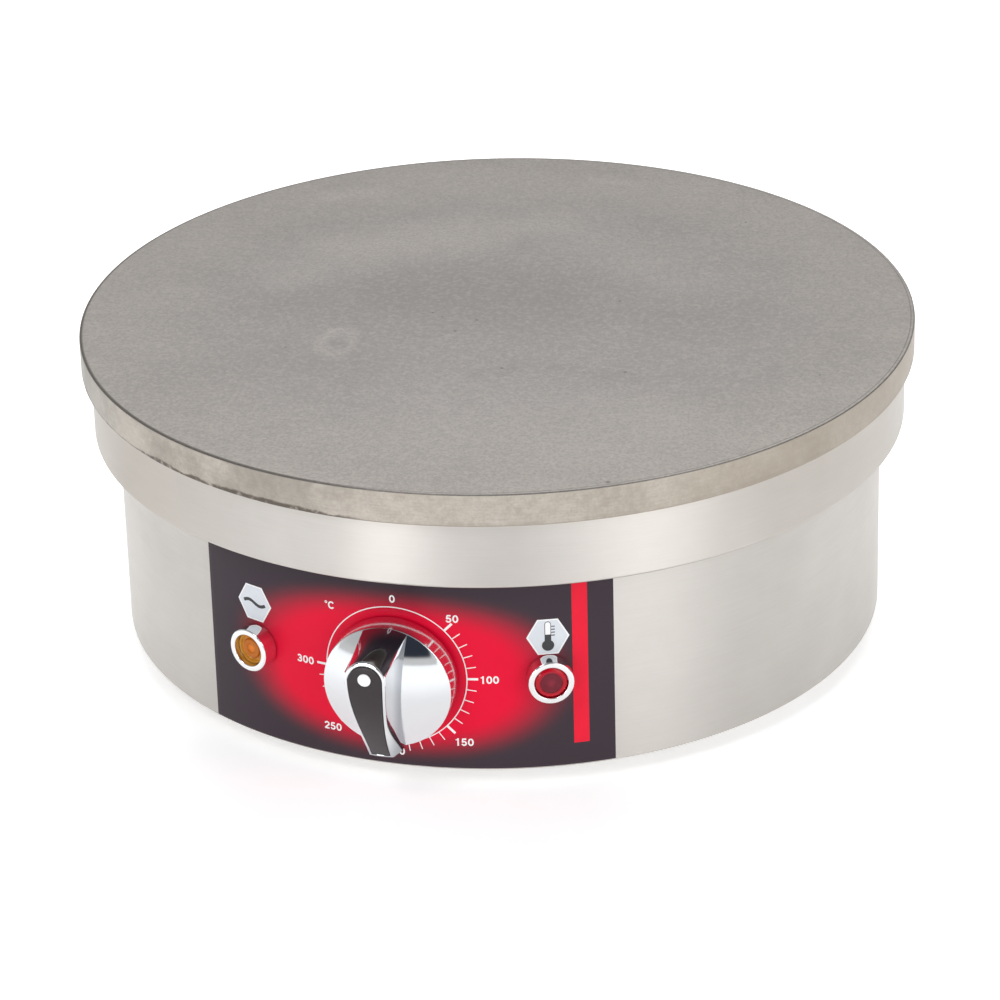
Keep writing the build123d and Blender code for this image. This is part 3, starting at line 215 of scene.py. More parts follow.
class StudioSettings(bpy.types.PropertyGroup):
    """Floor, light and camera."""

    floor: length("Floor", "Width of the white floor", 12.0)
    distance: length("Distance", "Camera to the middle of the griddle's face", 2.1433)
    lens: number("Lens", "Focal length in millimetres", 160.61)
    heading: angle("Heading", "Camera's turn round the object from the front", 15.97)
    elevation: angle("Elevation", "Camera's height angle", 23.644)
    pan: number("Pan", "Aim to the right of the griddle's middle", -0.00041)
    tilt: number("Tilt", "Aim above the griddle's face", -0.04212)
    roll: angle("Roll", "Camera's turn round its own line of sight", -1.583)
    daylight: number("Daylight", "Strength of the white surroundings", 0.62)
    table_light: number("Table Light", "Light that comes through the floor", 0.42)


class CrepeMakerSettings(bpy.types.PropertyGroup):
    """All settings of the crepe maker."""

    griddle: PointerProperty(type=GriddleSettings)
    steel: PointerProperty(type=SteelSettings)
    label: PointerProperty(type=LabelSettings)
    dial: PointerProperty(type=DialSettings)
    lamp: PointerProperty(type=LampSettings)
    knob: PointerProperty(type=KnobSettings)
    studio: PointerProperty(type=StudioSettings)


# ------------------------------------------------------------------ places from the frame

def reach(node, direction):
    """How far a frame node lies along a direction, as its nearest and farthest point."""
    along = [vertex.co.dot(direction) for vertex in frame["nodes"][node].data.vertices]
    return min(along), max(along)


def inner_radius(node):
    """Distance of a node's innermost point from the griddle's axis."""
    return min(math.hypot(*vertex.co.xy) for vertex in frame["nodes"][node].data.vertices)


def middle_of(node):
    """Middle of a node's box."""
    low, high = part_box(node)
    return (low + high) / 2


def turn_of(node):
    """A node's turn round the griddle's axis from the front, positive to the right."""
    middle = middle_of(node)
    return math.atan2(middle.x, -middle.y)


def outward(turn):
    """Horizontal direction away from the griddle's axis at a turn from the front."""
    return Vector((math.sin(turn), -math.cos(turn), 0.0))


def spot_at(turn, radius, height):
    """Point at a turn from the front, a radius from the griddle's axis and a height."""
    return outward(turn) * radius + Vector((0.0, 0.0, height))


def standing(turn, radius, level):
    """A piece's own frame on the body's side: X across, Y up and Z outward."""
    out = outward(turn)
    up = Vector((0.0, 0.0, 1.0))
    place = Matrix((up.cross(out), up, out)).transposed().to_4x4()
    place.translation = spot_at(turn, radius, level)
    return place


LABEL_NEAR, LABEL_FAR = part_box("front_label")
LABEL_RADIUS = -LABEL_NEAR.y
LABEL_LOW = LABEL_NEAR.z
LABEL_HIGH = LABEL_FAR.z
LABEL_TURN = math.asin(LABEL_FAR.x / LABEL_RADIUS)
DIAL_LEVEL = frame["joints"][0]["pos_m"][2]
LAMP_LEVEL = middle_of("left_lamp_bezel").z
PLATE_LOW, PLATE_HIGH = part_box("griddle_plate")
RIM_RADIUS = PLATE_HIGH.x
# Holes through the label and the body: turn, height and radius.
FRONT_HOLES = [(0.0, DIAL_LEVEL, SHAFT_HOLE)]
FRONT_HOLES += [(turn_of(f"{side}_lamp_bezel"), LAMP_LEVEL, LAMP_HOLE) for side in ("left", "right")]


# ------------------------------------------------------------------ mesh work

def spread(first, last, steps):
    """Evenly spaced values from the first to the last."""
    return [first + (last - first) * step / steps for step in range(steps + 1)]


def arc(middle, across, up, first, last, steps):
    """Points along part of an oval, from one bearing to another."""
    return [
        (middle[0] + across * math.cos(bearing), middle[1] + up * math.sin(bearing))
        for bearing in spread(first, last, steps)
    ]


def softened(corners):
    """Points of an outline whose corners, given as (across, up, radius), are rounded by arcs."""
    points = []
    for index, (across, up, radius) in enumerate(corners):
        corner = Vector((across, up))
        if radius == 0.0:
            points.append(corner)
            continue
        back = (Vector(corners[index - 1][:2]) - corner).normalized()
        ahead = (Vector(corners[(index + 1) % len(corners)][:2]) - corner).normalized()
        half = back.angle(ahead) / 2
        middle = corner + (back + ahead).normalized() * radius / math.sin(half)
        first = (corner + back * radius / math.tan(half) - middle).normalized()
        last = (corner + ahead * radius / math.tan(half) - middle).normalized()
        for part in spread(0, 1, CORNER_STEPS):
            points.append(middle + first.slerp(last, part).normalized() * radius)
    return points


def turned(outline, steps, closed=True):
    """Mesh swept round Z from an outline of (radius, height) points."""
    form = bmesh.new()
    rings = []
    for radius, height in outline:
        count = steps if radius > SLACK else 1
        turns = [math.tau * step / steps for step in range(count)]
        rings.append([form.verts.new(spot_at(turn, radius, height)) for turn in turns])
    following = rings[1:] + rings[:1] if closed else rings[1:]
    for ring, other in zip(rings, following):
        if len(ring) == len(other) == 1:
            continue
        for turn in range(steps):
            after = (turn + 1) % steps
            corners = [ring[turn % len(ring)], ring[after % len(ring)]]
            corners += [other[after % len(other)], other[turn % len(other)]]
            form.faces.new(list(dict.fromkeys(corners)))
    bmesh.ops.recalc_face_normals(form, faces=form.faces)
    return form


def bridge(form, ring, other):
    """Faces between two closed rings of as many points."""
    for index, corner in enumerate(ring):
        after = (index + 1) % len(ring)
        form.faces.new((corner, ring[after], other[after], other[index]))


def lofted(rings):
    """Mesh through rings of as many points each, and closed round every ring."""
    form = bmesh.new()
    made = [[form.verts.new(point) for point in ring] for ring in rings]
    for ring, other in zip(made, made[1:]):
        bridge(form, ring, other)
    bmesh.ops.remove_doubles(form, verts=form.verts, dist=2 * SLACK)
    bmesh.ops.dissolve_degenerate(form, edges=form.edges, dist=SLACK)
    bmesh.ops.recalc_face_normals(form, faces=form.faces)
    return form


def within(value, places):
    """Whether a value lies between the first and the last place."""
    return places[0] - SLACK < value < places[-1] + SLACK


def pierced_wall(radius, turns, profile, holes, closed):
    """Curved sheet whose profile of (radius, height) points follows the turns, with round holes.

    Each hole is (turn, height, hole radius) and lies in the upright part at the given radius.
    """
    patches = []
    for turn, height, hole in holes:
        half = HOLE_PATCH * hole
        sides = [(index / HOLE_CELLS * 2 - 1) * half for index in range(HOLE_CELLS + 1)]
        columns = [turn + side / radius for side in sides]
        patches.append((turn, height, hole, columns, [height + side for side in sides]))
    for *_, columns, levels in patches:
        turns = [turn for turn in turns if not within(turn, columns)]
        profile = [place for place in profile if place[0] != radius or not within(place[1], levels)]
    turns = sorted(turns + [turn for patch in patches for turn in patch[3]])
    for level in sorted({round(level, 7) for patch in patches for level in patch[4]}):
        after = next(i for i, place in enumerate(profile) if place[0] == radius and place[1] > level)
        profile.insert(after, (radius, level))

    form = bmesh.new()
    grid = [[form.verts.new(spot_at(turn, *place)) for place in profile] for turn in turns]
    spans = []
    for turn, height, hole, columns, levels in patches:
        across = [i for i, other in enumerate(turns) if within(other, columns)]
        upward = [
            i for i, place in enumerate(profile) if place[0] == radius and within(place[1], levels)
        ]
        spans.append((turn, height, hole, across, upward))
    for column in range(len(turns) if closed else len(turns) - 1):
        here, after = grid[column], grid[(column + 1) % len(turns)]
        for row in range(len(profile) - 1):
            if any(a[0] <= column < a[-1] and u[0] <= row < u[-1] for *_, a, u in spans):
                continue
            form.faces.new((here[row], after[row], after[row + 1], here[row + 1]))
    for turn, height, hole, across, upward in spans:
        edge = [(column, upward[0]) for column in across[:-1]]
        edge += [(across[-1], row) for row in upward[:-1]]
        edge += [(column, upward[-1]) for column in reversed(across[1:])]
        edge += [(across[0], row) for row in reversed(upward[1:])]
        lip = []
        for column, row in edge:
            bearing = math.atan2(profile[row][1] - height, (turns[column] - turn) * radius)
            lip_turn = turn + hole * math.cos(bearing) / radius
            lip.append(form.verts.new(spot_at(lip_turn, radius, height + hole * math.sin(bearing))))
        bridge(form, [grid[column][row] for column, row in edge], lip)
    bmesh.ops.recalc_face_normals(form, faces=form.faces)
    return form


def sliced(form, spacing):
    """Cuts a flat form into upright slices so that it can follow the body's curve."""
    places = [vertex.co.x for vertex in form.verts]
    for index in range(1, math.ceil((max(places) - min(places)) / spacing)):
        bmesh.ops.bisect_plane(
            form,
            geom=form.verts[:] + form.edges[:] + form.faces[:],
            plane_co=(min(places) + index * spacing, 0, 0),
            plane_no=(1, 0, 0),
        )
    return form


def thickened(form, thickness):
    """Gives the faces of a flat form a thickness outward."""
    made = bmesh.ops.extrude_face_region(form, geom=form.faces[:])
    raised = [item for item in made["geom"] if isinstance(item, bmesh.types.BMVert)]
    bmesh.ops.translate(form, verts=raised, vec=(0, 0, thickness))
    bmesh.ops.recalc_face_normals(form, faces=form.faces)
    return form


def plate_of(outline, rise, thickness):
    """Flat plate with the given outline, from a height above the label to its thickness."""
    form = bmesh.new()
    form.faces.new([form.verts.new((across, up, rise)) for across, up in outline])
    return thickened(sliced(form, SLICE), thickness)


def ribbon(points, width, rise, thickness):
    """Flat line of even width along the points."""
    form = bmesh.new()
    sides = []
    for index, point in enumerate(points):
        back = Vector(points[max(index - 1, 0)])
        ahead = Vector(points[min(index + 1, len(points) - 1)])
        along = (ahead - back).normalized()
        side = Vector((-along.y, along.x)) * width / 2
        here = Vector(point)
        sides.append([form.verts.new((*(here + side), rise)), form.verts.new((*(here - side), rise))])
    for (left, right), (next_left, next_right) in zip(sides, sides[1:]):
        form.faces.new((left, right, next_right, next_left))
    return thickened(form, thickness)


def joined(forms):
    """One form from several."""
    whole = bmesh.new()
    for form in forms:
        mesh = bpy.data.meshes.new("part")
        form.to_mesh(mesh)
        form.free()
        whole.from_mesh(mesh)
        bpy.data.meshes.remove(mesh)
    return whole


def piece(name, form, finishes, body, place=None, stands_for=(), crease=35.0):
    """Finished object from a form: smooth faces, materials, and the body it rides on."""
    mesh = bpy.data.meshes.new(name)
    form.to_mesh(mesh)
    form.free()
    mesh.shade_smooth()
    mesh.set_sharp_from_angle(angle=math.radians(crease))
    for material in finishes:
        mesh.materials.append(material)
    thing = bpy.data.objects.new(name, mesh)
    bpy.context.scene.collection.objects.link(thing)
    if place is not None:
        thing.matrix_world = place
    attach(thing, body)
    if stands_for:
        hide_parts(*stands_for)
    return thing


def printed(name, form, finish):
    """Print on the label: a flat form, X across, Y up and Z outward, that is bent round the body."""
    for vertex in form.verts:
        across, up, out = vertex.co
        vertex.co = spot_at(across / LABEL_RADIUS, LABEL_RADIUS + out, DIAL_LEVEL + up)
    piece(name, form, [finish], BASE)


def thick_sheet(thing, name, thickness):
    """Gives a surface the thickness of its sheet, inward."""
    thick = thing.modifiers.new(name, "SOLIDIFY")
    thick.thickness = thickness
    thick.offset = -1.0
    return thick


def keep_flats(thing):
    """Large faces keep their own direction of shading beside narrow rounded edges."""
    thing.modifiers.new("Flat Faces", "WEIGHTED_NORMAL").keep_sharp = True


# ------------------------------------------------------------------ shader work

NUMBER = "NodeSocketFloat"
PLACE = "NodeSocketVector"
ACROSS = (1.0, 0.0, 0.0)
NOWHERE = (0.0, 0.0, 0.0)


class Tree:
    """Short calls for the nodes of one material or node group."""

    def __init__(self, tree):
        self.tree = tree
        self.shader = tree.nodes.get("Principled BSDF")

    def feed(self, sockets, values):
        """Sets or links sockets, by name or number."""
        for name, value in values.items():
            if isinstance(value, bpy.types.NodeSocket):
                self.tree.links.new(value, sockets[name])
            else:
                sockets[name].default_value = value

    def put(self, **values):
        """Sets or links the shader's sockets, with spaces in their names written as underscores."""
        self.feed(self.shader.inputs, {name.replace("_", " "): value for name, value in values.items()})

    def add(self, kind, inputs, **settings):
        """A node with its settings, and with its inputs set or linked."""
        node = self.tree.nodes.new(kind)
        for name, value in settings.items():
            setattr(node, name, value)
        self.feed(node.inputs, inputs)
        return node

    def use(self, name, **inputs):
        """A node group placed here with the finish's own values; gives its outputs."""
        return self.add("ShaderNodeGroup", inputs, node_tree=bpy.data.node_groups[name]).outputs

    def stain(self, place, size, contrast):
        """Clouds of a size; gives their mask and height."""
        return self.use("Cloudy Stain", Place=place, Size=size, Contrast=contrast)

    def math(self, operation, *values):
        """Result of a math node."""
        return self.add("ShaderNodeMath", dict(enumerate(values)), operation=operation).outputs[0]

    def vector(self, operation, *values):
        """Vector result of a vector math node."""
        return self.add("ShaderNodeVectorMath", dict(enumerate(values)), operation=operation).outputs[0]

    def measure(self, operation, *values):
        """Number that a vector math node gives."""
        node = self.add("ShaderNodeVectorMath", dict(enumerate(values)), operation=operation)
        return node.outputs["Value"]

    def between(self, value, low, high):
        """Value smoothly mapped from a range to nothing at its first end and one at its other."""
        inputs = {"Value": value, "From Min": low, "From Max": high}
        return self.add("ShaderNodeMapRange", inputs, interpolation_type="SMOOTHSTEP").outputs[0]

    def plus(self, value, mask, part):
        """Value raised by part of a mask."""
        return self.math("ADD", value, self.math("MULTIPLY", mask, part))

    def mix(self, factor, first, second):
        """Colour mixed from two colours."""
        return self.add("ShaderNodeMix", {0: factor, 6: first, 7: second}, data_type="RGBA").outputs[2]

    def over(self, tone, mask, strength, shade):
        """Colour with another laid over it where the mask is, as strongly as given."""
        return self.mix(self.math("MULTIPLY", mask, strength), tone, shade)

    def noise(self, place, scale, detail, roughness):
        """Cloudy value from 0 to 1."""
        inputs = {"Vector": place, "Scale": scale, "Detail": detail, "Roughness": roughness}
        return self.add("ShaderNodeTexNoise", inputs).outputs[0]

    def parts(self, place):
        """The three parts of a place."""
        return self.add("ShaderNodeSeparateXYZ", {0: place}).outputs

    def round_turn(self, parts):
        """Turn of a place round the axis from the front."""
        return self.math("ARCTAN2", parts[0], self.math("MULTIPLY", parts[1], -1.0))

    def place(self):
        """A surface point in the piece's own frame."""
        return self.add("ShaderNodeTexCoord", {}).outputs["Object"]

    def flat(self, place):
        """A place with its height left out."""
        return self.vector("MULTIPLY", place, (1.0, 1.0, 0.0))

    def bump(self, height, distance, strength):
        """Relief on the surface from a height that changes over it."""
        node = self.add("ShaderNodeBump", {"Height": height, "Distance": distance, "Strength": strength})
        self.put(Normal=node.outputs[0])


def group(name, outputs, **inputs):
    """New shader node group with named sockets; gives its tree, its inputs and its outputs' sockets.

    An input is a place where its value is None, and otherwise a number with that value.
    """
    made = bpy.data.node_groups.new(name, "ShaderNodeTree")
    for socket, value in inputs.items():
        kind = PLACE if value is None else NUMBER
        item = made.interface.new_socket(socket, in_out="INPUT", socket_type=kind)
        if value is not None:
            item.default_value = value
    for socket in outputs:
        made.interface.new_socket(socket, in_out="OUTPUT", socket_type=NUMBER)
    tree = Tree(made)
    return tree, tree.add("NodeGroupInput", {}).outputs, tree.add("NodeGroupOutput", {}).inputs


def build_groups():
    """The surface effects that several finishes share."""
    if "Cloudy Stain" in bpy.data.node_groups:
        return

    tree, given, out = group("Cloudy Stain", ["Mask", "Height"], Place=None, Size=0.05, Contrast=0.2)
    cloud = tree.noise(given["Place"], tree.math("DIVIDE", 1.0, given["Size"]), 5.0, 0.6)
    low = tree.math("SUBTRACT", 0.5, given["Contrast"])
    high = tree.math("ADD", 0.5, given["Contrast"])
    tree.feed(out, {"Mask": tree.between(cloud, low, high), "Height": cloud})

    tree, given, out = group("Brushed Lines", ["Mask", "Height"], Place=None, Spacing=0.0004, Run=60.0)
    split = tree.parts(given["Place"])
    radius = tree.measure("LENGTH", given["Place"])
    run = tree.math("DIVIDE", tree.math("MULTIPLY", tree.round_turn(split), radius), given["Run"])
    lined = tree.add("ShaderNodeCombineXYZ", {0: run, 1: radius, 2: split[2]}).outputs[0]
    lines = tree.noise(lined, tree.math("DIVIDE", 1.0, given["Spacing"]), 2.0, 0.7)
    tree.feed(out, {"Mask": tree.between(lines, 0.3, 0.7), "Height": lines})

    tree, given, out = group("Fine Specks", ["Mask"], Place=None, Spacing=0.02, Size=0.06, Share=0.3)
    scale = tree.math("DIVIDE", 1.0, given["Spacing"])
    cells = tree.add("ShaderNodeTexVoronoi", {"Vector": given["Place"], "Scale": scale})
    spot = tree.between(cells.outputs["Distance"], given["Size"], 0.0)
    chance = tree.add("ShaderNodeSeparateColor", {0: cells.outputs["Color"]}).outputs[0]
    chosen = tree.math("LESS_THAN", chance, given["Share"])
    tree.feed(out, {"Mask": tree.math("MULTIPLY", spot, chosen)})

    sizes = {"Radius": 0.02, "Softness": 0.004}
    tree, given, out = group("Drying Ring", ["Mask"], Place=None, Middle=None, **sizes)
    away = tree.measure("DISTANCE", given["Place"], given["Middle"])
    off = tree.math("ABSOLUTE", tree.math("SUBTRACT", away, given["Radius"]))
    tree.feed(out, {"Mask": tree.between(off, given["Softness"], 0.0)})

    # Soft stroke: the shape in which the cooking face's painted reflections, painted shade and small dark marks
    # are laid.
    tree, given, out = group("Wiped Stroke", ["Mask"], Place=None, Start=None, End=None, Width=0.01)
    run = tree.vector("SUBTRACT", given["End"], given["Start"])
    off = tree.vector("SUBTRACT", given["Place"], given["Start"])
    lengths = tree.measure("DOT_PRODUCT", off, run), tree.measure("DOT_PRODUCT", run, run)
    along = tree.add("ShaderNodeClamp", {0: tree.math("DIVIDE", *lengths)}).outputs[0]
    nearest = tree.add("ShaderNodeVectorMath", {0: run, "Scale": along}, operation="SCALE").outputs[0]
    away = tree.measure("DISTANCE", off, nearest)
    tree.feed(out, {"Mask": tree.between(away, given["Width"], 0.0)})


def new_finish(name):
    """A material with a bare Principled shader; gives the material, its tree and a surface point."""
    material = bpy.data.materials.new(name)
    material.use_nodes = True
    tree = Tree(material.node_tree)
    return material, tree, tree.place()


def scaled(tone, *factors):
    """Colour made darker or lighter, by one factor or by one for each part."""
    if len(factors) == 1:
        factors *= 3
    return tuple(min(part * factor, 1.0) for part, factor in zip(tone, factors)) + (1.0,)


# ------------------------------------------------------------------ finishes of the griddle

# Strokes on the cooking face: start, end, half width and strength. The light strokes are painted reflections of
# the lights; the dark strokes are painted shade, apart from the last three, which are small dark marks.
PAINTED_SHEEN_STROKES = (
    ((-0.114, 0.020), (-0.090, 0.058), 0.028, 0.45),
    ((-0.090, 0.058), (-0.039, 0.094), 0.040, 0.85),
    ((-0.039, 0.094), (-0.004, 0.112), 0.034, 0.72),
    ((-0.004, 0.112), (0.052, 0.079), 0.040, 0.34),
    ((0.052, 0.079), (0.080, 0.050), 0.040, 0.22),
    ((-0.122, 0.120), (-0.100, 0.137), 0.014, 0.66),
    ((0.006, 0.172), (0.028, 0.175), 0.011, 0.72),
    ((-0.090, 0.150), (0.060, 0.165), 0.038, 0.32),
    ((0.010, -0.118), (0.094, -0.108), 0.066, 0.28),
)
SHADE_AND_MARK_STROKES = (
    ((-0.105, -0.006), (-0.060, -0.014), 0.045, 0.50),
    ((-0.046, 0.012), (0.016, 0.020), 0.062, 1.00),
    ((0.030, 0.020), (0.125, 0.020), 0.045, 0.50),
    ((-0.125, -0.100), (-0.060, -0.070), 0.050, 0.40),
    ((0.130, -0.070), (0.165, -0.010), 0.045, 0.30),
    ((0.012, -0.070), (0.024, -0.062), 0.008, 0.55),
    ((0.040, -0.056), (0.052, -0.054), 0.007, 0.50),
    ((0.066, -0.060), (0.080, -0.058), 0.009, 0.55),
)
# Small dark pits in the face: place and radius.
FACE_PITS = (
    ((-0.0135, -0.0257), 0.0014),
    ((-0.0067, -0.0110), 0.0012),
    ((0.0547, 0.0253), 0.0010),
    ((0.0926, 0.1345), 0.0011),
    ((-0.0872, -0.0606), 0.0009),
    ((0.0196, -0.0622), 0.0013),
    ((0.0769, -0.0544), 0.0014),
    ((0.1660, -0.0386), 0.0009),
    ((-0.0300, -0.0070), 0.0010),
    ((-0.0240, -0.0110), 0.0009),
    ((0.0976, -0.1699), 0.0019),
)
STREAK_TURN = math.radians(16.0)        # lie of the face's streaks
STREAK_STRETCH = (1.0, 1.9, 1.0)        # their length over their width
STRAY = 0.026                           # how far stains wander from their drawn places
STRAY_SCALE = 26.0
GRAIN_SCALE = 700.0                     # the casting's fine grain
COARSE_SCALE = 380.0                    # and its coarser grain
STAIN_MIDDLE = (-0.0650, -0.0530)       # water stain on the face
STAIN_SQUASH = 0.62                     # its width over its depth
OIL_LINE = (0.060, 0.050, 0.042, 1)     # burnt oil along the face's edge
PIT_TONE = (0.050, 0.042, 0.036, 1)
RIM_GREY = (0.225, 0.215, 0.198, 1.0)
RIM_BEIGE = (0.330, 0.285, 0.232, 1.0)
SHADOW_AND_GRIME_TONE = (0.060, 0.045, 0.034, 1)        # patchy painted shadow along the plate's lower edge, with dark specks of dirt


def strokes_mask(tree, flat, strokes):
    """Strongest of several soft strokes at a place."""
    found = 0.0
    for start, end, width, strength in strokes:
        ends = {"Start": (*start, 0.0), "End": (*end, 0.0)}
        mask = tree.use("Wiped Stroke", Place=flat, Width=width, **ends)["Mask"]
        found = tree.math("MAXIMUM", found, tree.math("MULTIPLY", mask, strength))
    return found


def griddle_face_finish(settings):
    """Machined cast iron: fine grain, streaky clouds, soft strokes of painted reflection and painted shade with a
    few small dark marks, a water stain and a few pits.
    """
    material, tree, place = new_finish("griddle_face")
    flat = tree.flat(place)
    inputs = {"Vector": flat, "Scale": STRAY_SCALE, "Detail": 4.0}
    wander = tree.add("ShaderNodeTexNoise", inputs).outputs[1]
    strayed = tree.vector("ADD", flat, tree.vector("MULTIPLY", wander, (STRAY, STRAY, 0.0)))
    strayed = tree.vector("SUBTRACT", strayed, (STRAY / 2, STRAY / 2, 0.0))

    inputs = {"Vector": flat, "Angle": -STREAK_TURN}
    swung = tree.add("ShaderNodeVectorRotate", inputs, rotation_type="Z_AXIS").outputs[0]
    streaked = tree.vector("MULTIPLY", swung, STREAK_STRETCH)
    streaks = tree.stain(streaked, 0.060, 0.24)
    fine_streaks = tree.stain(streaked, 0.011, 0.22)
    grain = tree.noise(place, GRAIN_SCALE, 3.0, 0.7)
    coarse = tree.noise(place, COARSE_SCALE, 2.0, 0.6)

    radius = tree.measure("LENGTH", strayed)
    tone = tree.mix(tree.between(radius, 0.095, 0.200), settings.face, settings.tint)
    darker = scaled(settings.face, 0.76)
    lighter = scaled(settings.tint, 1.38)
    # Painted shade with a few small dark marks, and painted reflections of the lights, each laid in soft strokes.
    dark = strokes_mask(tree, strayed, SHADE_AND_MARK_STROKES)
    light = strokes_mask(tree, strayed, PAINTED_SHEEN_STROKES)
    tone = tree.over(tone, streaks["Mask"], 0.34, darker)
    tone = tree.over(tone, fine_streaks["Mask"], 0.16, lighter)
    tone = tree.over(tone, dark, 0.62, darker)
    tone = tree.over(tone, light, 0.62, lighter)

    def ringed(spot, middle, size, softness):
        middle = (*middle, 0.0)
        return tree.use("Drying Ring", Place=spot, Middle=middle, Radius=size, Softness=softness)["Mask"]

    stain_place = tree.vector("MULTIPLY", strayed, (1.0, STAIN_SQUASH, 1.0))
    middle = (STAIN_MIDDLE[0], STAIN_MIDDLE[1] * STAIN_SQUASH)
    tone = tree.over(tone, ringed(stain_place, middle, 0.0, 0.0050), 0.30, darker)
    tone = tree.over(tone, ringed(stain_place, middle, 0.0080, 0.0048), 0.34, lighter)
    tone = tree.over(tone, tree.between(grain, 0.38, 0.62), 0.48, darker)
    tone = tree.over(tone, tree.between(coarse, 0.42, 0.72), 0.26, lighter)

    right_part = tree.between(tree.measure("DOT_PRODUCT", flat, ACROSS), -0.04, 0.03)
    left_part = tree.math("SUBTRACT", 1.0, right_part)
    for inset, softness, strength, part in (
        (0.0019, 0.0004, 0.60, right_part),
        (0.0009, 0.0011, 0.92, left_part),
    ):
        line = tree.math("MULTIPLY", ringed(flat, (0.0, 0.0), RIM_RADIUS - inset, softness), part)
        tone = tree.over(tone, line, strength, OIL_LINE)
    pits = 0.0
    for pit, size in FACE_PITS:
        pits = tree.math("MAXIMUM", pits, ringed(flat, pit, 0.0, size))
    specks = tree.use("Fine Specks", Place=flat, Spacing=0.026, Size=0.028, Share=0.20)["Mask"]
    pits = tree.math("MAXIMUM", pits, tree.math("MULTIPLY", specks, 0.6))
    tone = tree.over(tone, pits, 0.80, PIT_TONE)
    gloss = tree.math("ADD", tree.math("MULTIPLY", light, -0.06), settings.roughness)
    tree.put(Base_Color=tone, Roughness=tree.plus(gloss, grain, 0.10), Metallic=0.85)
    relief = tree.math("ADD", tree.math("MULTIPLY", grain, 0.4), tree.math("SUBTRACT", coarse, pits))
    tree.bump(relief, 0.00002, 0.6)
    return material


def griddle_rim_finish(settings):
    """Turned rim of the plate: brown stains over fine turning lines, greyer towards the left and beige towards the
    right, and a patchy painted shadow with dark specks of dirt along its lower edge.
    """
    material, tree, place = new_finish("griddle_rim")
    lines = tree.use("Brushed Lines", Place=place, Spacing=0.0006, Run=25.0)
    stain = tree.stain(place, 0.045, 0.16)
    blotch = tree.stain(place, 0.0045, 0.14)
    fine = tree.stain(place, 0.0013, 0.16)
    brown = scaled(settings.rim, 0.52, 0.48, 0.42)
    tone = tree.over(settings.rim, stain["Mask"], 0.40, brown)
    tone = tree.over(tone, blotch["Mask"], 0.30, scaled(settings.rim, 1.30))
    tone = tree.over(tone, fine["Mask"], 0.20, brown)
    tone = tree.over(tone, lines["Mask"], 0.18, brown)
    across = tree.measure("DOT_PRODUCT", place, ACROSS)
    left_part = tree.between(across, 0.004, -0.024)
    mottled = tree.math("MULTIPLY", left_part, tree.between(stain["Height"], 0.38, 0.60))
    tone = tree.over(tone, mottled, 0.36, RIM_GREY)
    tone = tree.over(tone, tree.between(across, -0.120, -0.195), 0.60, RIM_GREY)
    tone = tree.over(tone, tree.between(across, 0.070, 0.185), 0.62, RIM_BEIGE)

    # Patchy painted shadow along the plate's lower edge under its overhang, stronger on the left, with dark specks
    # of dirt laid in the same tone.
    edge = tree.plus(PLATE_LOW.z + 0.0006, tree.between(stain["Height"], 0.35, 0.65), 0.0022)
    shadow_and_grime = tree.between(tree.math("SUBTRACT", tree.parts(place)[2], edge), 0.0008, -0.0004)
    shadow_and_grime = tree.math("MULTIPLY", shadow_and_grime, tree.between(blotch["Height"], 0.30, 0.52))
    shadow_and_grime = tree.math("MULTIPLY", shadow_and_grime, tree.math("MULTIPLY_ADD", left_part, 0.85, 0.10))
    specks = tree.use("Fine Specks", Place=place, Spacing=0.009, Size=0.05, Share=0.20)["Mask"]
    shadow_and_grime = tree.math("MAXIMUM", tree.math("MULTIPLY", shadow_and_grime, 0.85), tree.math("MULTIPLY", specks, 0.65))
    gloss = tree.plus(0.38, stain["Height"], 0.18)
    tree.put(Base_Color=tree.mix(shadow_and_grime, tone, SHADOW_AND_GRIME_TONE), Roughness=gloss, Metallic=0.8)
    tree.bump(tree.math("ADD", lines["Height"], fine["Height"]), 0.00004, 0.6)
    return material


# ------------------------------------------------------------------ finishes of the other pieces

SEAM_TONE = (0.050, 0.045, 0.042, 1)    # shadow in the collar's lower fold
RUBBED = (0.6, 0.6, 0.6, 1)             # rub marks on plating
CREASE_SHADE_TONE = (0.25, 0.27, 0.31, 1.0)   # painted shade in the creases of the knob
GLOW_POWER = 2.3                        # squareness of the red field, where 2 is an oval
GLOW_FULL = 0.74                        # share of the field's size at which the red starts to fade
GLOW_OUT = 1.24                         # share at which it has gone
GLOW_FADE = 1.55                        # how steeply it fades


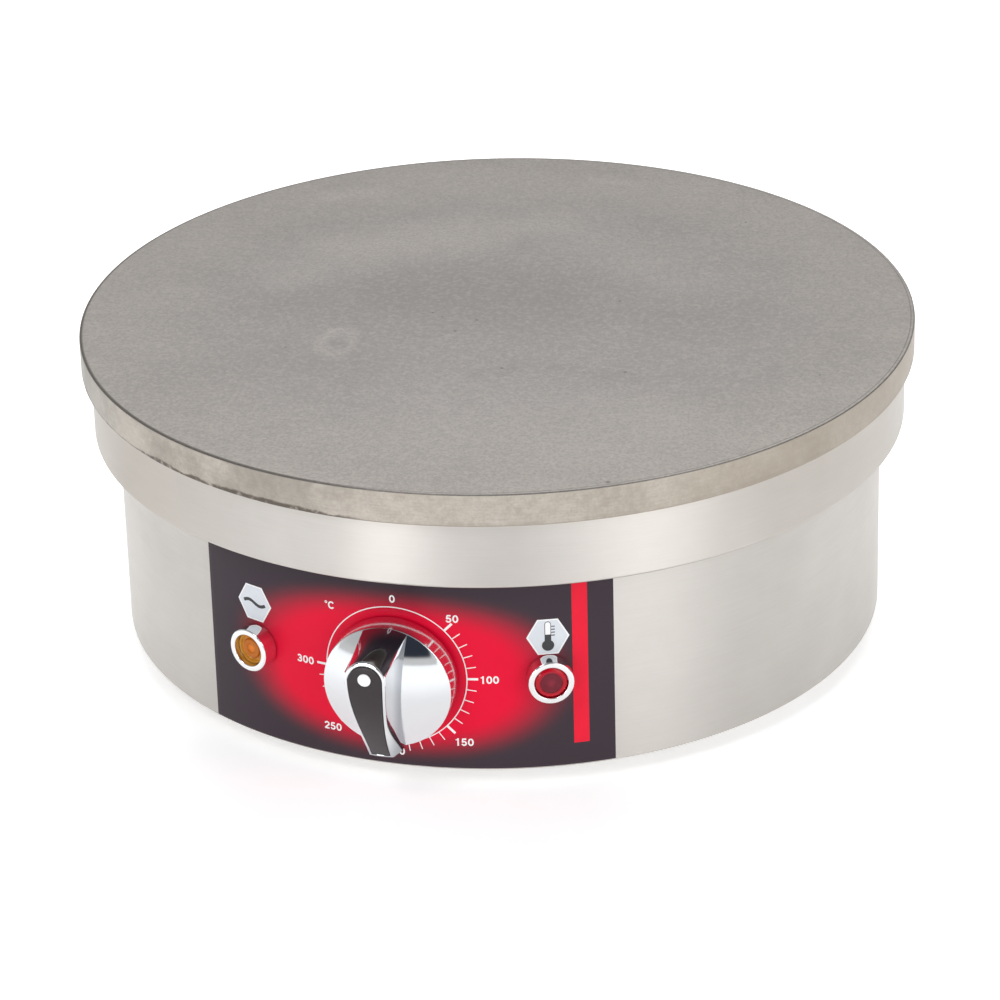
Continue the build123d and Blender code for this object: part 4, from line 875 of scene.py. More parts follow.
def brushed_finish(name, tone, roughness, seam=None):
    """Stainless sheet brushed round its axis, with faint clouds from handling.

    With a seam, given by its height, the fold there is painted dark as a shadow and the left and right sides get
    painted shade.
    """
    material, tree, place = new_finish(name)
    lines = tree.use("Brushed Lines", Place=place, Spacing=0.0003, Run=90.0)
    cloud = tree.stain(place, 0.06, 0.25)
    smudge = tree.stain(place, 0.018, 0.10)
    darker = scaled(tone, 0.86)
    shade = tree.over(tone, lines["Mask"], 0.20, darker)
    shade = tree.over(shade, cloud["Mask"], 0.22, darker)
    shade = tree.over(shade, smudge["Mask"], 0.08, darker)
    if seam is not None:
        dark = tree.between(tree.parts(place)[2], seam + 0.0009, seam + 0.0003)
        shade = tree.over(shade, dark, 0.80, SEAM_TONE)
        # Painted shade on the left and right sides of the collar.
        across = tree.measure("DOT_PRODUCT", place, ACROSS)
        right_side_shade = tree.math("MULTIPLY", tree.between(across, 0.105, 0.175), 0.60)
        side_shade = tree.math("MAXIMUM", tree.between(across, -0.050, -0.145), right_side_shade)
        shade = tree.over(shade, side_shade, 0.85, scaled(tone, 0.72, 0.695, 0.66))
    gloss = tree.plus(tree.plus(roughness, lines["Mask"], 0.06), cloud["Mask"], 0.04)
    axis = tree.add("ShaderNodeTangent", {}, direction_type="RADIAL", axis="Z").outputs[0]
    tree.put(Base_Color=shade, Roughness=gloss, Metallic=1.0, Tangent=axis)
    tree.put(Anisotropic=0.8, Anisotropic_Rotation=0.25)
    tree.bump(lines["Height"], 0.000006, 0.5)
    return material


def plain_metal_finish(name, tone, roughness, mottle=0.15):
    """Solid metal with slightly uneven colour and gloss."""
    material, tree, place = new_finish(name)
    cloud = tree.stain(place, 0.006, 0.2)
    shade = tree.over(tone, cloud["Mask"], mottle, scaled(tone, 0.7))
    tree.put(Base_Color=shade, Roughness=tree.plus(roughness, cloud["Mask"], 0.06), Metallic=1.0)
    tree.bump(cloud["Height"], 0.00001, 0.5)
    return material


def chrome_finish(name, tone, roughness, satin_radius=None, foot=None):
    """Polished plating with the faintest unevenness and rub marks.

    It is satin outside a radius, and painted darker towards a foot, as painted shade in the crease.
    """
    material, tree, place = new_finish(name)
    cloud = tree.stain(place, 0.012, 0.2)
    shade = tree.over(tone, cloud["Mask"], 0.06, RUBBED)
    gloss = tree.plus(roughness, cloud["Mask"], 0.03)
    if satin_radius is not None:
        away = tree.measure("DISTANCE", tree.flat(place), NOWHERE)
        gloss = tree.plus(gloss, tree.between(away, satin_radius, satin_radius + 0.0006), 0.06)
    if foot is not None:
        # Painted shade darkening the bar's walls towards the crease at their foot.
        low = tree.between(tree.parts(place)[2], foot + 0.016, foot + 0.001)
        shade = tree.over(shade, low, 0.78, CREASE_SHADE_TONE)
    tree.put(Base_Color=shade, Roughness=gloss, Metallic=1.0)
    tree.bump(cloud["Height"], 0.00002, 0.15)
    return material


def plastic_finish(name, tone, roughness, relief=0.00002, size=0.0008, **sockets):
    """Moulded plastic, rubber or ink with a fine texture."""
    material, tree, place = new_finish(name)
    grain = tree.stain(place, size, 0.2)
    cloud = tree.stain(place, 0.02, 0.2)
    lighter = tuple(min(part * 1.25 + 0.004, 1.0) for part in tone[:3]) + (1.0,)
    shade = tree.over(tone, cloud["Mask"], 0.3, lighter)
    tree.put(Base_Color=shade, Roughness=tree.plus(roughness, grain["Mask"], 0.06), **sockets)
    tree.bump(grain["Height"], relief, 0.4)
    return material


def fibre_finish(name, tone):
    """Pressed mineral fibre: short matted threads."""
    material, tree, place = new_finish(name)
    threads = tree.noise(tree.vector("MULTIPLY", place, (60.0, 60.0, 900.0)), 12.0, 5.0, 0.7)
    tufts = tree.stain(place, 0.004, 0.2)
    shade = tree.mix(tree.between(threads, 0.35, 0.65), scaled(tone, 0.7), tone)
    tree.put(Base_Color=shade, Roughness=0.95)
    tree.bump(tree.math("ADD", threads, tufts["Height"]), 0.0004, 0.7)
    return material


def label_finish(settings):
    """Printed film: a red field round the dial that fades into the dark ground."""
    material, tree, place = new_finish("label_film")
    split = tree.parts(place)
    across = tree.math("MULTIPLY_ADD", tree.round_turn(split), LABEL_RADIUS, -settings.glow_across)
    across = tree.math("ABSOLUTE", tree.math("DIVIDE", across, settings.glow_width))
    up = tree.math("DIVIDE", tree.math("SUBTRACT", split[2], DIAL_LEVEL), settings.glow_height)
    powers = [tree.math("POWER", side, GLOW_POWER) for side in (across, tree.math("ABSOLUTE", up))]
    from_middle = tree.math("POWER", tree.math("ADD", *powers), 1.0 / GLOW_POWER)
    red = tree.math("POWER", tree.between(from_middle, GLOW_OUT, GLOW_FULL), GLOW_FADE)
    mottle = tree.stain(place, 0.05, 0.3)
    texture = tree.stain(place, 0.0006, 0.2)
    ground = tree.over(settings.ground, mottle["Mask"], 0.5, scaled(settings.ground, 0.86))
    shade = tree.mix(red, ground, settings.glow)
    gloss = tree.plus(0.30, texture["Mask"], 0.05)
    tree.put(Base_Color=shade, Roughness=gloss, Specular_IOR_Level=0.12)
    tree.bump(texture["Height"], 0.000004, 0.4)
    return material


def ink_finish(name, tone):
    """Printed ink with a slightly uneven lay."""
    return plastic_finish(name, tone, 0.38, 0.000003, 0.0005, Specular_IOR_Level=0.15)


def lens_finish(name, ring, disc):
    """Moulded lamp lens: clear coloured plastic, bright in its outer ring and deeper inside."""
    material, tree, place = new_finish(name)
    cloud = tree.stain(place, 0.003, 0.25)
    away = tree.measure("DISTANCE", tree.flat(place), NOWHERE)
    shade = tree.mix(tree.between(away, 0.0046, 0.0060), disc, ring)
    shade = tree.over(shade, tree.between(away, 0.0030, 0.0), 0.7, scaled(disc, 1.8))
    shade = tree.over(shade, cloud["Mask"], 0.25, scaled(disc, 0.55))
    tree.put(Base_Color=shade, Roughness=0.16, Specular_IOR_Level=0.12)
    tree.put(Coat_Weight=0.25, Coat_Roughness=0.04)
    tree.bump(cloud["Height"], 0.00004, 0.3)
    return material


# The finish of each material slot of the frame, for the nodes that stay as they are.
SLOT_FINISHES = {
    "satin_steel": (brushed_finish, "satin_sheet", (0.60, 0.58, 0.55, 1.0), 0.30),
    "black_plastic": (plastic_finish, "black_plastic", (0.020, 0.020, 0.021, 1.0), 0.42),
    "zinc_steel": (plain_metal_finish, "zinc_plate", (0.62, 0.63, 0.64, 1.0), 0.33),
    "element_steel": (plain_metal_finish, "heated_steel", (0.16, 0.145, 0.13, 1.0), 0.5, 0.5),
    "mineral_wool": (fibre_finish, "mineral_wool", (0.62, 0.56, 0.44, 1.0)),
    "shield_aluminium": (plain_metal_finish, "shield_aluminium", (0.72, 0.72, 0.73, 1.0), 0.35),
    "foot_rubber": (plastic_finish, "foot_rubber", (0.022, 0.021, 0.021, 1.0), 0.7, 0.00005, 0.0012),
    "terminal_plastic": (plastic_finish, "terminal_plastic", (0.68, 0.65, 0.56, 1.0), 0.4),
    "brass": (plain_metal_finish, "brass", (0.72, 0.50, 0.20, 1.0), 0.3),
    "capillary_copper": (plain_metal_finish, "copper", (0.66, 0.32, 0.20, 1.0), 0.32),
    "lead_sleeve": (plastic_finish, "lead_sleeve", (0.60, 0.59, 0.56, 1.0), 0.6),
}


# ------------------------------------------------------------------ griddle, collar and body

# Waves of the machined face, across and in depth: radians in a metre, and where they start.
FACE_WAVES = ((23.0, 1.0), (31.0, 0.4))


class CREPE_OT_griddle(bpy.types.Operator):
    """Turns the cast-iron plate, with its slightly uneven machined face and stained rim."""

    bl_idname = "crepe.griddle"
    bl_label = "Griddle Plate"

    def execute(self, context):
        settings = context.scene.crepe_maker.griddle
        low, top, edge = PLATE_LOW.z, PLATE_HIGH.z, settings.edge
        corners = [(0.0, low, 0.0), (RIM_RADIUS, low, edge), (RIM_RADIUS, top, edge), (0.0, top, 0.0)]
        *side, middle = softened(corners)
        face = [Vector((side[-1].x * (1 - ring / FACE_RINGS), top)) for ring in range(1, FACE_RINGS)]
        form = turned(side + face + [middle], TURN_STEPS, closed=False)
        (pace_x, start_x), (pace_y, start_y) = FACE_WAVES
        for vertex in form.verts:
            x, y, z = vertex.co
            if z > top - edge / 2:
                swell = math.sin(pace_x * x + start_x) * math.cos(pace_y * y + start_y)
                vertex.co.z -= settings.waviness * (1 + swell)
        for flat in form.faces:
            flat.material_index = 1 if flat.calc_center_median().z < top - edge * 0.6 else 0
        finishes = [griddle_face_finish(settings), griddle_rim_finish(settings)]
        plate = piece("griddle", form, finishes, BASE, stands_for=["griddle_plate"])
        keep_flats(plate)
        return {"FINISHED"}


def sheet_band(name, radius, profile, holes, thickness, finish, node):
    """Bent sheet round the axis, with holes, as thick as the real sheet."""
    turns = [math.tau * step / TURN_STEPS - QUARTER for step in range(TURN_STEPS)]
    form = pierced_wall(radius, turns, profile, holes, closed=True)
    band = piece(name, form, [finish], BASE, stands_for=[node])
    thick_sheet(band, "Sheet", thickness).use_even_offset = True
    keep_flats(band)


class CREPE_OT_collar(bpy.types.Operator):
    """Bends the stainless collar under the plate."""

    bl_idname = "crepe.collar"
    bl_label = "Collar Ring"

    def execute(self, context):
        settings = context.scene.crepe_maker.steel
        low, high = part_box("collar_ring")
        fold = settings.collar_fold
        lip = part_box("body_shell")[1].x + settings.collar_sheet / 4
        corners = [
            (lip, low.z, 0.0),
            (high.x, low.z, fold),
            (high.x, high.z, fold),
            (inner_radius("collar_ring"), high.z, 0.0),
        ]
        profile = [tuple(point) for point in softened(corners)]
        finish = brushed_finish("collar_steel", settings.collar_tone, settings.roughness, seam=low.z)
        sheet_band("collar", high.x, profile, [], settings.collar_sheet, finish, "collar_ring")
        return {"FINISHED"}


class CREPE_OT_body(bpy.types.Operator):
    """Rolls the stainless body with its holes for the shaft, the lamps and the gland."""

    bl_idname = "crepe.body"
    bl_label = "Body Shell"

    def execute(self, context):
        settings = context.scene.crepe_maker.steel
        low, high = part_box("body_shell")
        radius = high.x
        corners = [(inner_radius("body_shell"), low.z, 0.0), (radius, low.z, settings.body_fold)]
        *fold, _ = softened(corners + [(radius, high.z, 0.0)])
        profile = [
            (radius if abs(point.x - radius) < SLACK / 100 else point.x, point.y) for point in fold
        ]
        profile += [(radius, level) for level in spread(fold[-1].y, high.z, WALL_LEVELS)[1:]]
        holes = FRONT_HOLES + [(math.pi, middle_of("cable_gland").z, GLAND_HOLE)]
        finish = brushed_finish("body_steel", settings.tone, settings.roughness)
        sheet_band("body", radius, profile, holes, settings.body_sheet, finish, "body_shell")
        return {"FINISHED"}


# ------------------------------------------------------------------ label and dial

POINT_SHRINK = 1.15       # how much more a panel's ground draws in at its points than at its flats
ICON_STEPS = 32           # steps along the wave and round the bulb
ARCH_STEPS = 12           # steps round the tube's top
DIAL_STEPS = 180          # steps round the scale's line
WAVE_HALF = 0.0063        # half the width of the mains wave
WAVE_SWING = 0.0011       # its height over its middle line
WAVE_LINE = 0.0016        # width of its line
TUBE = 0.0015             # half the width of the thermometer's tube
TUBE_LOW = -0.0030        # its foot and its top over the panel's middle
TUBE_TOP = 0.0078
TUBE_WALL = 0.0003        # dark wall round the tube's pale inside
FILL_TOP = 0.0012         # level to which the thermometer is filled
BULB = 0.0028             # radius of its bulb
BULB_UP = -0.0043         # the bulb's middle over the panel's
MARKS = 4                 # marks beside the tube
MARK_LOW = 0.0007         # height of the lowest mark
MARK_STEP = 0.0015        # rise from one mark to the next
MARK_LENGTH = 0.0016
MARK_LINE = 0.0005        # width of a mark


class CREPE_OT_label(bpy.types.Operator):
    """Lays the printed film, its stripe and its two panels round the front."""

    bl_idname = "crepe.label"
    bl_label = "Front Label"

    def execute(self, context):
        settings = context.scene.crepe_maker.label
        turns = [LABEL_TURN * (step / LABEL_COLUMNS * 2 - 1) for step in range(LABEL_COLUMNS + 1)]
        profile = [(LABEL_RADIUS, level) for level in spread(LABEL_LOW, LABEL_HIGH, WALL_LEVELS)]
        form = pierced_wall(LABEL_RADIUS, turns, profile, FRONT_HOLES, closed=False)
        finish = label_finish(settings)
        film = piece("label", form, [finish], BASE, stands_for=["front_label"])
        thick_sheet(film, "Film", settings.film)
        keep_flats(film)

        left = settings.stripe_left
        right = left + settings.stripe_width
        bottom = LABEL_LOW + settings.stripe_foot - DIAL_LEVEL
        top = LABEL_HIGH - DIAL_LEVEL - settings.ink
        corners = [(left, bottom), (right, bottom), (right, top), (left, top)]
        stripe = plate_of(corners, 0.0, settings.ink)
        printed("label_stripe", stripe, ink_finish("stripe_ink", settings.stripe))

        inks = {"white": ink_finish("white_ink", settings.white)}
        inks["pale"] = ink_finish("panel_ink", settings.panel)
        inks["dark"] = ink_finish("icon_ink", settings.icon)
        for name, across, up, icon in (
            ("mains", -settings.mains_across, settings.mains_up, wave_icon),
            ("heat", settings.heat_across, settings.heat_up, thermometer_icon),
        ):
            middle = Vector((across, up))
            edge = panel(settings, middle, 0.0, 0)
            ground = panel(settings, middle, settings.panel_edge, 1)
            printed(f"{name}_panel_edge", edge, inks["white"])
            printed(f"{name}_panel_ground", ground, inks["pale"])
            icon(middle, 2 * settings.ink, settings.ink, inks)
        return {"FINISHED"}


def panel(settings, middle, shrink, layer):
    """Six-sided panel round a middle, drawn in from its full size."""
    half_width = settings.panel_width / 2 - shrink * POINT_SHRINK
    half_height = settings.panel_height / 2 - shrink
    flat = half_width - half_height / math.sqrt(3)
    upper = [(half_width, 0.0), (flat, half_height), (-flat, half_height)]
    corners = upper + [(-across, -up) for across, up in upper]
    return plate_of([middle + Vector(corner) for corner in corners], settings.ink * layer, settings.ink)


def wave_icon(middle, rise, ink, inks):
    """Mains sign: one wave of a line."""
    points = [
        middle + Vector((along * WAVE_HALF, -WAVE_SWING * math.sin(math.pi * along)))
        for along in spread(-1.0, 1.0, ICON_STEPS)
    ]
    printed("mains_wave", ribbon(points, WAVE_LINE, rise, ink), inks["dark"])


def stadium(middle, half_width, low, high):
    """Outline of an upright bar with a round top."""
    foot = [(middle.x + side, middle.y + low) for side in (-half_width, half_width)]
    top = middle + Vector((0.0, high - half_width))
    return foot + arc(top, half_width, half_width, 0.0, math.pi, ARCH_STEPS)


def thermometer_icon(middle, rise, ink, inks):
    """Heat sign: a thermometer with marks beside it."""
    bulb = arc(middle + Vector((0.0, BULB_UP)), BULB, BULB, 0.0, math.tau, ICON_STEPS)[:-1]
    parts = (
        ("tube", stadium(middle, TUBE, TUBE_LOW, TUBE_TOP), 0, "dark"),
        ("glass", stadium(middle, TUBE - TUBE_WALL, FILL_TOP, TUBE_TOP - TUBE_WALL), 1, "white"),
        ("bulb", bulb, 1, "dark"),
    )
    for name, outline, layer, tone in parts:
        printed(f"heat_{name}", plate_of(outline, rise + ink * layer, ink), inks[tone])
    for mark in range(MARKS):
        start = middle + Vector((TUBE + HAIR, MARK_LOW + mark * MARK_STEP))
        line = [start, start + Vector((MARK_LENGTH, 0.0))]
        printed(f"heat_mark_{mark}", ribbon(line, MARK_LINE, rise, ink), inks["dark"])


def bow(middle, across, up, first, last):
    """Points along part of an oval in a numeral, from one bearing to another in degrees."""
    steps = max(4, round(abs(last - first) / BOW_STEP))
    return arc(middle, across, up, math.radians(first), math.radians(last), steps)


BOW_STEP = 15             # degrees from one point of a bow to the next
# Numerals of the scale: text, arc across and height over the knob's axis.
NUMERALS = (
    ("0", 0.0, 0.0387),
    ("50", 0.0274, 0.0306),
    ("100", 0.0437, -0.0004),
    ("150", 0.0314, -0.0327),
    ("200", -0.0010, -0.0395),
    ("250", -0.0317, -0.0319),
    ("300", -0.0447, 0.0000),
    ("°C", -0.0308, 0.0310),
)
TICKS_BETWEEN = 5         # short steps from one numeral to the next
NUMERAL_STEPS = 6         # steps from 0 to 300
LAYER_SHARE = 1 / 20      # how far a numeral's next stroke stands higher, over the ink
STROKE = 0.19             # width of the figures' main strokes over their height
# Bold figures one unit tall: the room that each takes, and its strokes as a width and a centre line.
FIGURES = {
    "0": (0.78, [(STROKE, bow((0.39, 0.50), 0.255, 0.405, 90, 450))]),
    "1": (0.78, [(STROKE, [(0.45, 0.0), (0.45, 1.0)]), (0.13, [(0.17, 0.765), (0.36, 0.83)])]),
    "2": (
        0.78,
        [
            (STROKE, bow((0.38, 0.665), 0.240, 0.240, 172, -35) + [(0.30, 0.27), (0.17, 0.12)]),
            (STROKE, [(0.08, 0.095), (0.67, 0.095)]),
        ],
    ),
    "3": (
        0.78,
        [
            (STROKE, bow((0.37, 0.705), 0.215, 0.200, 165, -80) + [(0.28, 0.515)]),
            (STROKE, bow((0.37, 0.300), 0.250, 0.205, 80, -170)),
        ],
    ),
    "5": (
        0.78,
        [
            (STROKE, bow((0.37, 0.335), 0.250, 0.240, 148, -165)),
            (STROKE, [(0.64, 0.905), (0.20, 0.905)]),
            (0.17, [(0.225, 0.90), (0.165, 0.46)]),
        ],
    ),
    "°": (0.42, [(0.11, bow((0.19, 0.83), 0.115, 0.115, 0, 360))]),
    "C": (0.90, [(STROKE, bow((0.45, 0.50), 0.330, 0.405, 38, 322))]),
}


def numeral(text, height, ink):
    """Bold upright figures, centred on their own middle."""
    strokes = []
    start = 0.0
    for figure in text:
        room, lines = FIGURES[figure]
        for layer, (width, points) in enumerate(lines):
            line = [Vector((start + across, up)) * height for across, up in points]
            strokes.append(ribbon(line, width * height, layer * ink * LAYER_SHARE, ink))
        start += room
    form = joined(strokes)
    sides = [[vertex.co[axis] for vertex in form.verts] for axis in (0, 1)]
    middle = Vector([(min(side) + max(side)) / 2 for side in sides] + [0.0])
    bmesh.ops.translate(form, verts=form.verts, vec=-middle)
    return sliced(form, FINE_SLICE)


class CREPE_OT_dial(bpy.types.Operator):
    """Prints the temperature scale round the knob."""

    bl_idname = "crepe.dial"
    bl_label = "Dial Print"

    def execute(self, context):
        settings = context.scene.crepe_maker.dial
        ink = context.scene.crepe_maker.label.ink
        white = bpy.data.materials["white_ink"]
        ring = settings.ring
        circle = arc((0.0, 0.0), settings.squeeze * ring, ring, QUARTER, QUARTER - math.tau, DIAL_STEPS)
        printed("dial_ring", ribbon(circle, settings.line, 0.0, ink), white)

        ticks = []
        for count in range(TICKS_BETWEEN, TICKS_BETWEEN * NUMERAL_STEPS + 1):
            turn = settings.step * count / TICKS_BETWEEN
            tick, width = settings.short_tick, settings.short_tick_width
            if count % TICKS_BETWEEN == 0:
                tick, width = settings.long_tick, settings.long_tick_width
            direction = Vector((settings.squeeze * math.sin(turn), math.cos(turn)))
            ticks.append(ribbon([direction * ring, direction * (ring + tick)], width, 0.0, ink))
        printed("dial_ticks", sliced(joined(ticks), SLICE), white)

        for text, across, up in NUMERALS:
            form = numeral(text, settings.numeral, ink)
            bmesh.ops.translate(form, verts=form.verts, vec=(across, up, 0.0))
            printed("numeral_" + (text if text.isdigit() else "celsius"), form, white)
        return {"FINISHED"}


# ------------------------------------------------------------------ lamps

LENS_DEEP = 0.0018        # depth of a lens's edge
LEDGE = 0.0020            # depth and width of the ledge that carries a lens


def amber_outline(radius, level):
    """Flat lens with rings that step down and up to a small disc."""
    points = [
        (radius, level - LENS_DEEP, 0.0),
        (radius, level, 0.0002),
        (radius * 0.86, level + 0.0003, 0.0001),
        (radius * 0.80, level - 0.0005, 0.0001),
        (radius * 0.64, level - 0.0005, 0.0001),
        (radius * 0.58, level + 0.0006, 0.0002),
        (radius * 0.34, level + 0.0006, 0.0002),
        (radius * 0.27, level + 0.0001, 0.0001),
        (0.0, level + 0.0001, 0.0),
    ]
    return [Vector((0.0, level - LENS_DEEP))] + softened(points)


def red_outline(radius, level):
    """Domed lens whose middle is a flatter disc inside a rounded step."""
    disc = radius * 0.66
    rise = 0.0018
    sink = 0.0004
    top = level + rise
    dome = [(0.0, level - LENS_DEEP), (radius, level - LENS_DEEP)]
    dome += arc((disc, level), radius - disc, rise, 0.0, QUARTER, 12)
    dome += [(disc * 0.96, top - 0.0003), (disc * 0.90, top - sink)]
    return dome + [(disc * part, top - sink * part**2) for part in (0.7, 0.45, 0.2, 0.0)]


class CREPE_OT_lamps(bpy.types.Operator):
    """Turns the chrome bezels and the moulded lenses of the two pilot lamps."""

    bl_idname = "crepe.lamps"
    bl_label = "Pilot Lamps"

    def execute(self, context):
        settings = context.scene.crepe_maker.lamp
        chrome = chrome_finish("bezel_chrome", (0.80, 0.80, 0.80, 1.0), 0.05)
        foot = settings.foot
        for side, outline, tone, slot in (
            ("left", amber_outline, "amber", "amber_lens"),
            ("right", red_outline, "red", "red_lens"),
        ):
            ring, disc, seat = (getattr(settings, tone + part) for part in ("", "_disc", "_seat"))
            bezel = f"{side}_lamp_bezel"
            turn = turn_of(bezel)
            near, far = reach(bezel, outward(turn))
            tall = far - near
            place = standing(turn, near, LAMP_LEVEL)
            low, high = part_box(bezel)
            radius = (high.z - low.z) / 2
            bore = radius - settings.face
            ledge = tall - seat - LEDGE
            corners = [
                (bore, ledge, 0.0),
                (bore, tall, settings.edge),
                (radius, tall, settings.shoulder),
                (radius, 1.5 * foot, foot / 2),
                (radius - foot, foot, 0.0),
                (radius - foot, 0.0, 0.0),
                (bore - LEDGE, 0.0, 0.0),
                (bore - LEDGE, ledge, 0.0),
            ]
            form = turned(softened(corners), SMALL_TURN_STEPS)
            keep_flats(piece(f"{side}_bezel", form, [chrome], BASE, place, [bezel]))
            form = turned(outline(bore - HAIR, tall - seat), SMALL_TURN_STEPS, closed=False)
            finish = lens_finish(slot, ring, disc)
            piece(f"{side}_lens", form, [finish], BASE, place, [f"{side}_lamp_lens"])
        return {"FINISHED"}


# ------------------------------------------------------------------ knob

TAIL_STEPS = 6            # stations across half the grip bar's tail
FLANK_STEPS = 28          # stations along a flank of the grip bar
HEAD_STEPS = 16           # stations round half the grip bar's head
HEAD_CORNER = 4           # station of the head where the flank meets the end wall
DOME_STEPS = 20           # steps across the domed faces
MEETING_ROUNDS = 12       # rounds that find where a flank meets the end's circle
HEAD_MIDDLE = 0.0200      # middle of the round head above the knob's axis
CREST_END = 0.0294        # both ends of the crest from the knob's axis
FLANK_RUN = 0.0490        # length over which the flank grows towards the tail
FLANK_LEAST = 0.0006      # its depth at the head
FLANK_GROWTH = 0.0066     # what it gains by the tail
FLANK_POWER = 1.25
INLAY_DEPTH = 0.0012      # how far the crest is sunk for the inlay
INLAY_CROWN = 0.0003      # rise of the inlay's middle over its edge
INLAY_EDGE = 0.0003       # rounding of its edge
HEAD_BORDER = 0.45        # how much wider the border is at the head's top
HUB_BORE = 0.0074         # radius of the hole in the domed faces, under the bar
RIM_EDGE = 0.0007         # rounding of the knob's rim
FOOT_SINK = 0.0010        # how far the bar's foot reaches under the domed faces
DOT_RISE = 0.0003         # how far the index dot stands on the inlay
DOT_DEEP = 0.0006         # how far it reaches into it

# Terms of the grip bar's curves by height above the knob's axis over BAR_REACH.
BAR_REACH = 0.0292
CREST_LEVEL = (0.04086, 0.01197, -0.00647, -0.00213)    # level of the crest over the label
CREST_HALF = (0.00808, 0.00314, -0.00064, -0.00142)     # half the bar's width at the crest
FOOT_HALF = (0.00855, 0.00135, 0.00055)                 # half the bar's width at the foot


def curve_at(terms, up):
    """Value of one of the grip bar's curves at a height above the knob's axis."""
    return sum(term * (up / BAR_REACH) ** power for power, term in enumerate(terms))


def flank_depth(up):
    """How far the sloping flank reaches down from the crest before the upright wall."""
    run = max(0.0, (HEAD_MIDDLE - up) / FLANK_RUN)
    return FLANK_LEAST + FLANK_GROWTH * run**FLANK_POWER


def dome_level(settings, radius):
    """Level of the knob's domed side faces over the label."""
    ball = (settings.rim**2 + settings.dome**2) / (2 * settings.dome)
    return settings.skirt + settings.dome - ball + math.sqrt(ball**2 - radius**2)


def bar_outline(terms, radius, inset, head):
    """Outline of the grip bar from its tail's middle up the right flank, round the head and back.

    The head is round at the crest, and at the foot it follows the knob's rim from a corner.
    """
    def narrowed(up):
        return curve_at(terms, up) - inset

    def corner_up(side):
        """Height where the flank meets the end's circle, above the axis for 1 and below for -1."""
        up = side * reach_out
        for _ in range(MEETING_ROUNDS):
            up = side * math.sqrt(reach_out**2 - narrowed(up) ** 2)
        return up

    reach_out = radius - inset
    tail = corner_up(-1)
    across_tail = spread(0.0, narrowed(tail), TAIL_STEPS)[:-1]
    points = [(across, -math.sqrt(reach_out**2 - across**2)) for across in across_tail]
    points += [(narrowed(up), up) for up in spread(tail, HEAD_MIDDLE, FLANK_STEPS)[:-1]]
    if head == "round":
        rise = reach_out - inset * HEAD_BORDER - HEAD_MIDDLE
        points += arc((0.0, HEAD_MIDDLE), narrowed(HEAD_MIDDLE), rise, 0.0, QUARTER, HEAD_STEPS)
    else:
        corner = corner_up(1)
        first = math.atan2(corner, narrowed(corner))
        points += [(narrowed(up), up) for up in spread(HEAD_MIDDLE, corner, HEAD_CORNER)[:-1]]
        points += arc((0.0, 0.0), reach_out, reach_out, first, QUARTER, HEAD_STEPS - HEAD_CORNER)
    points = [Vector(point) for point in points]
    points[0].x = 0.0
    points[-1].x = 0.0
    return points + [Vector((-point.x, point.y)) for point in reversed(points[1:-1])]


def crest_ring(inset, drop, inward=1.0, crown=0.0):
    """Ring of the crest's outline, drawn in towards the bar's middle line by a share."""
    ring = []
    for point in bar_outline(CREST_HALF, CREST_END, inset, "round"):
        spine = Vector((0.0, min(point.y, HEAD_MIDDLE)))
        spot = spine + (point - spine) * inward
        level = curve_at(CREST_LEVEL, spot.y) - drop + crown * (1 - inward**2)
        ring.append(Vector((*spot, level)))
    return ring


def foot_ring(settings, inset):
    """Ring of the bar's foot, a little under the domed faces."""
    outline = bar_outline(FOOT_HALF, settings.rim - HAIR, inset, "cornered")
    return [
        Vector((*point, dome_level(settings, min(point.length, settings.rim)) - FOOT_SINK))
        for point in outline
    ]


def bar_walls(settings):
    """Rings from under the crest down to the foot: a sloping flank, then an upright wall."""
    top = crest_ring(0.0, settings.edge)
    foot = foot_ring(settings, 0.0)
    crease = []
    for index, (high, low) in enumerate(zip(top, foot)):
        level = curve_at(CREST_LEVEL, high.y) - max(flank_depth(high.y), settings.edge + HAIR)
        lean = (high.z - level) / (high.z - low.z)
        past = max(0, min(index, len(top) - index) - TAIL_STEPS - FLANK_STEPS)
        if past < HEAD_CORNER:
            lean = max(lean, 1.0 - past / HEAD_CORNER)
        spot = high.lerp(low, lean)
        crease.append(Vector((spot.x, spot.y, level)))
    wall = [[high.lerp(low, step / 4) for high, low in zip(crease, foot)] for step in (1, 2, 3)]
    return [top, crease] + wall + [foot]


def skirt_outline(settings):
    """Half section of the domed side faces and the skirt, with the shell's inside."""
    rim, wall = settings.rim, settings.wall
    shoulder = rim - RIM_EDGE
    across = spread(HUB_BORE, shoulder, DOME_STEPS)
    outline = [(radius, dome_level(settings, radius)) for radius in across]
    top = outline[-1][1] - RIM_EDGE
    outline += arc((shoulder, top), RIM_EDGE, RIM_EDGE, QUARTER, 0.0, CORNER_STEPS)[1:]
    outline += [(rim, settings.gap), (rim - wall, settings.gap)]
    inside = (rim - wall, (rim + HUB_BORE) / 2, HUB_BORE)
    return outline + [(radius, dome_level(settings, radius) - wall) for radius in inside]


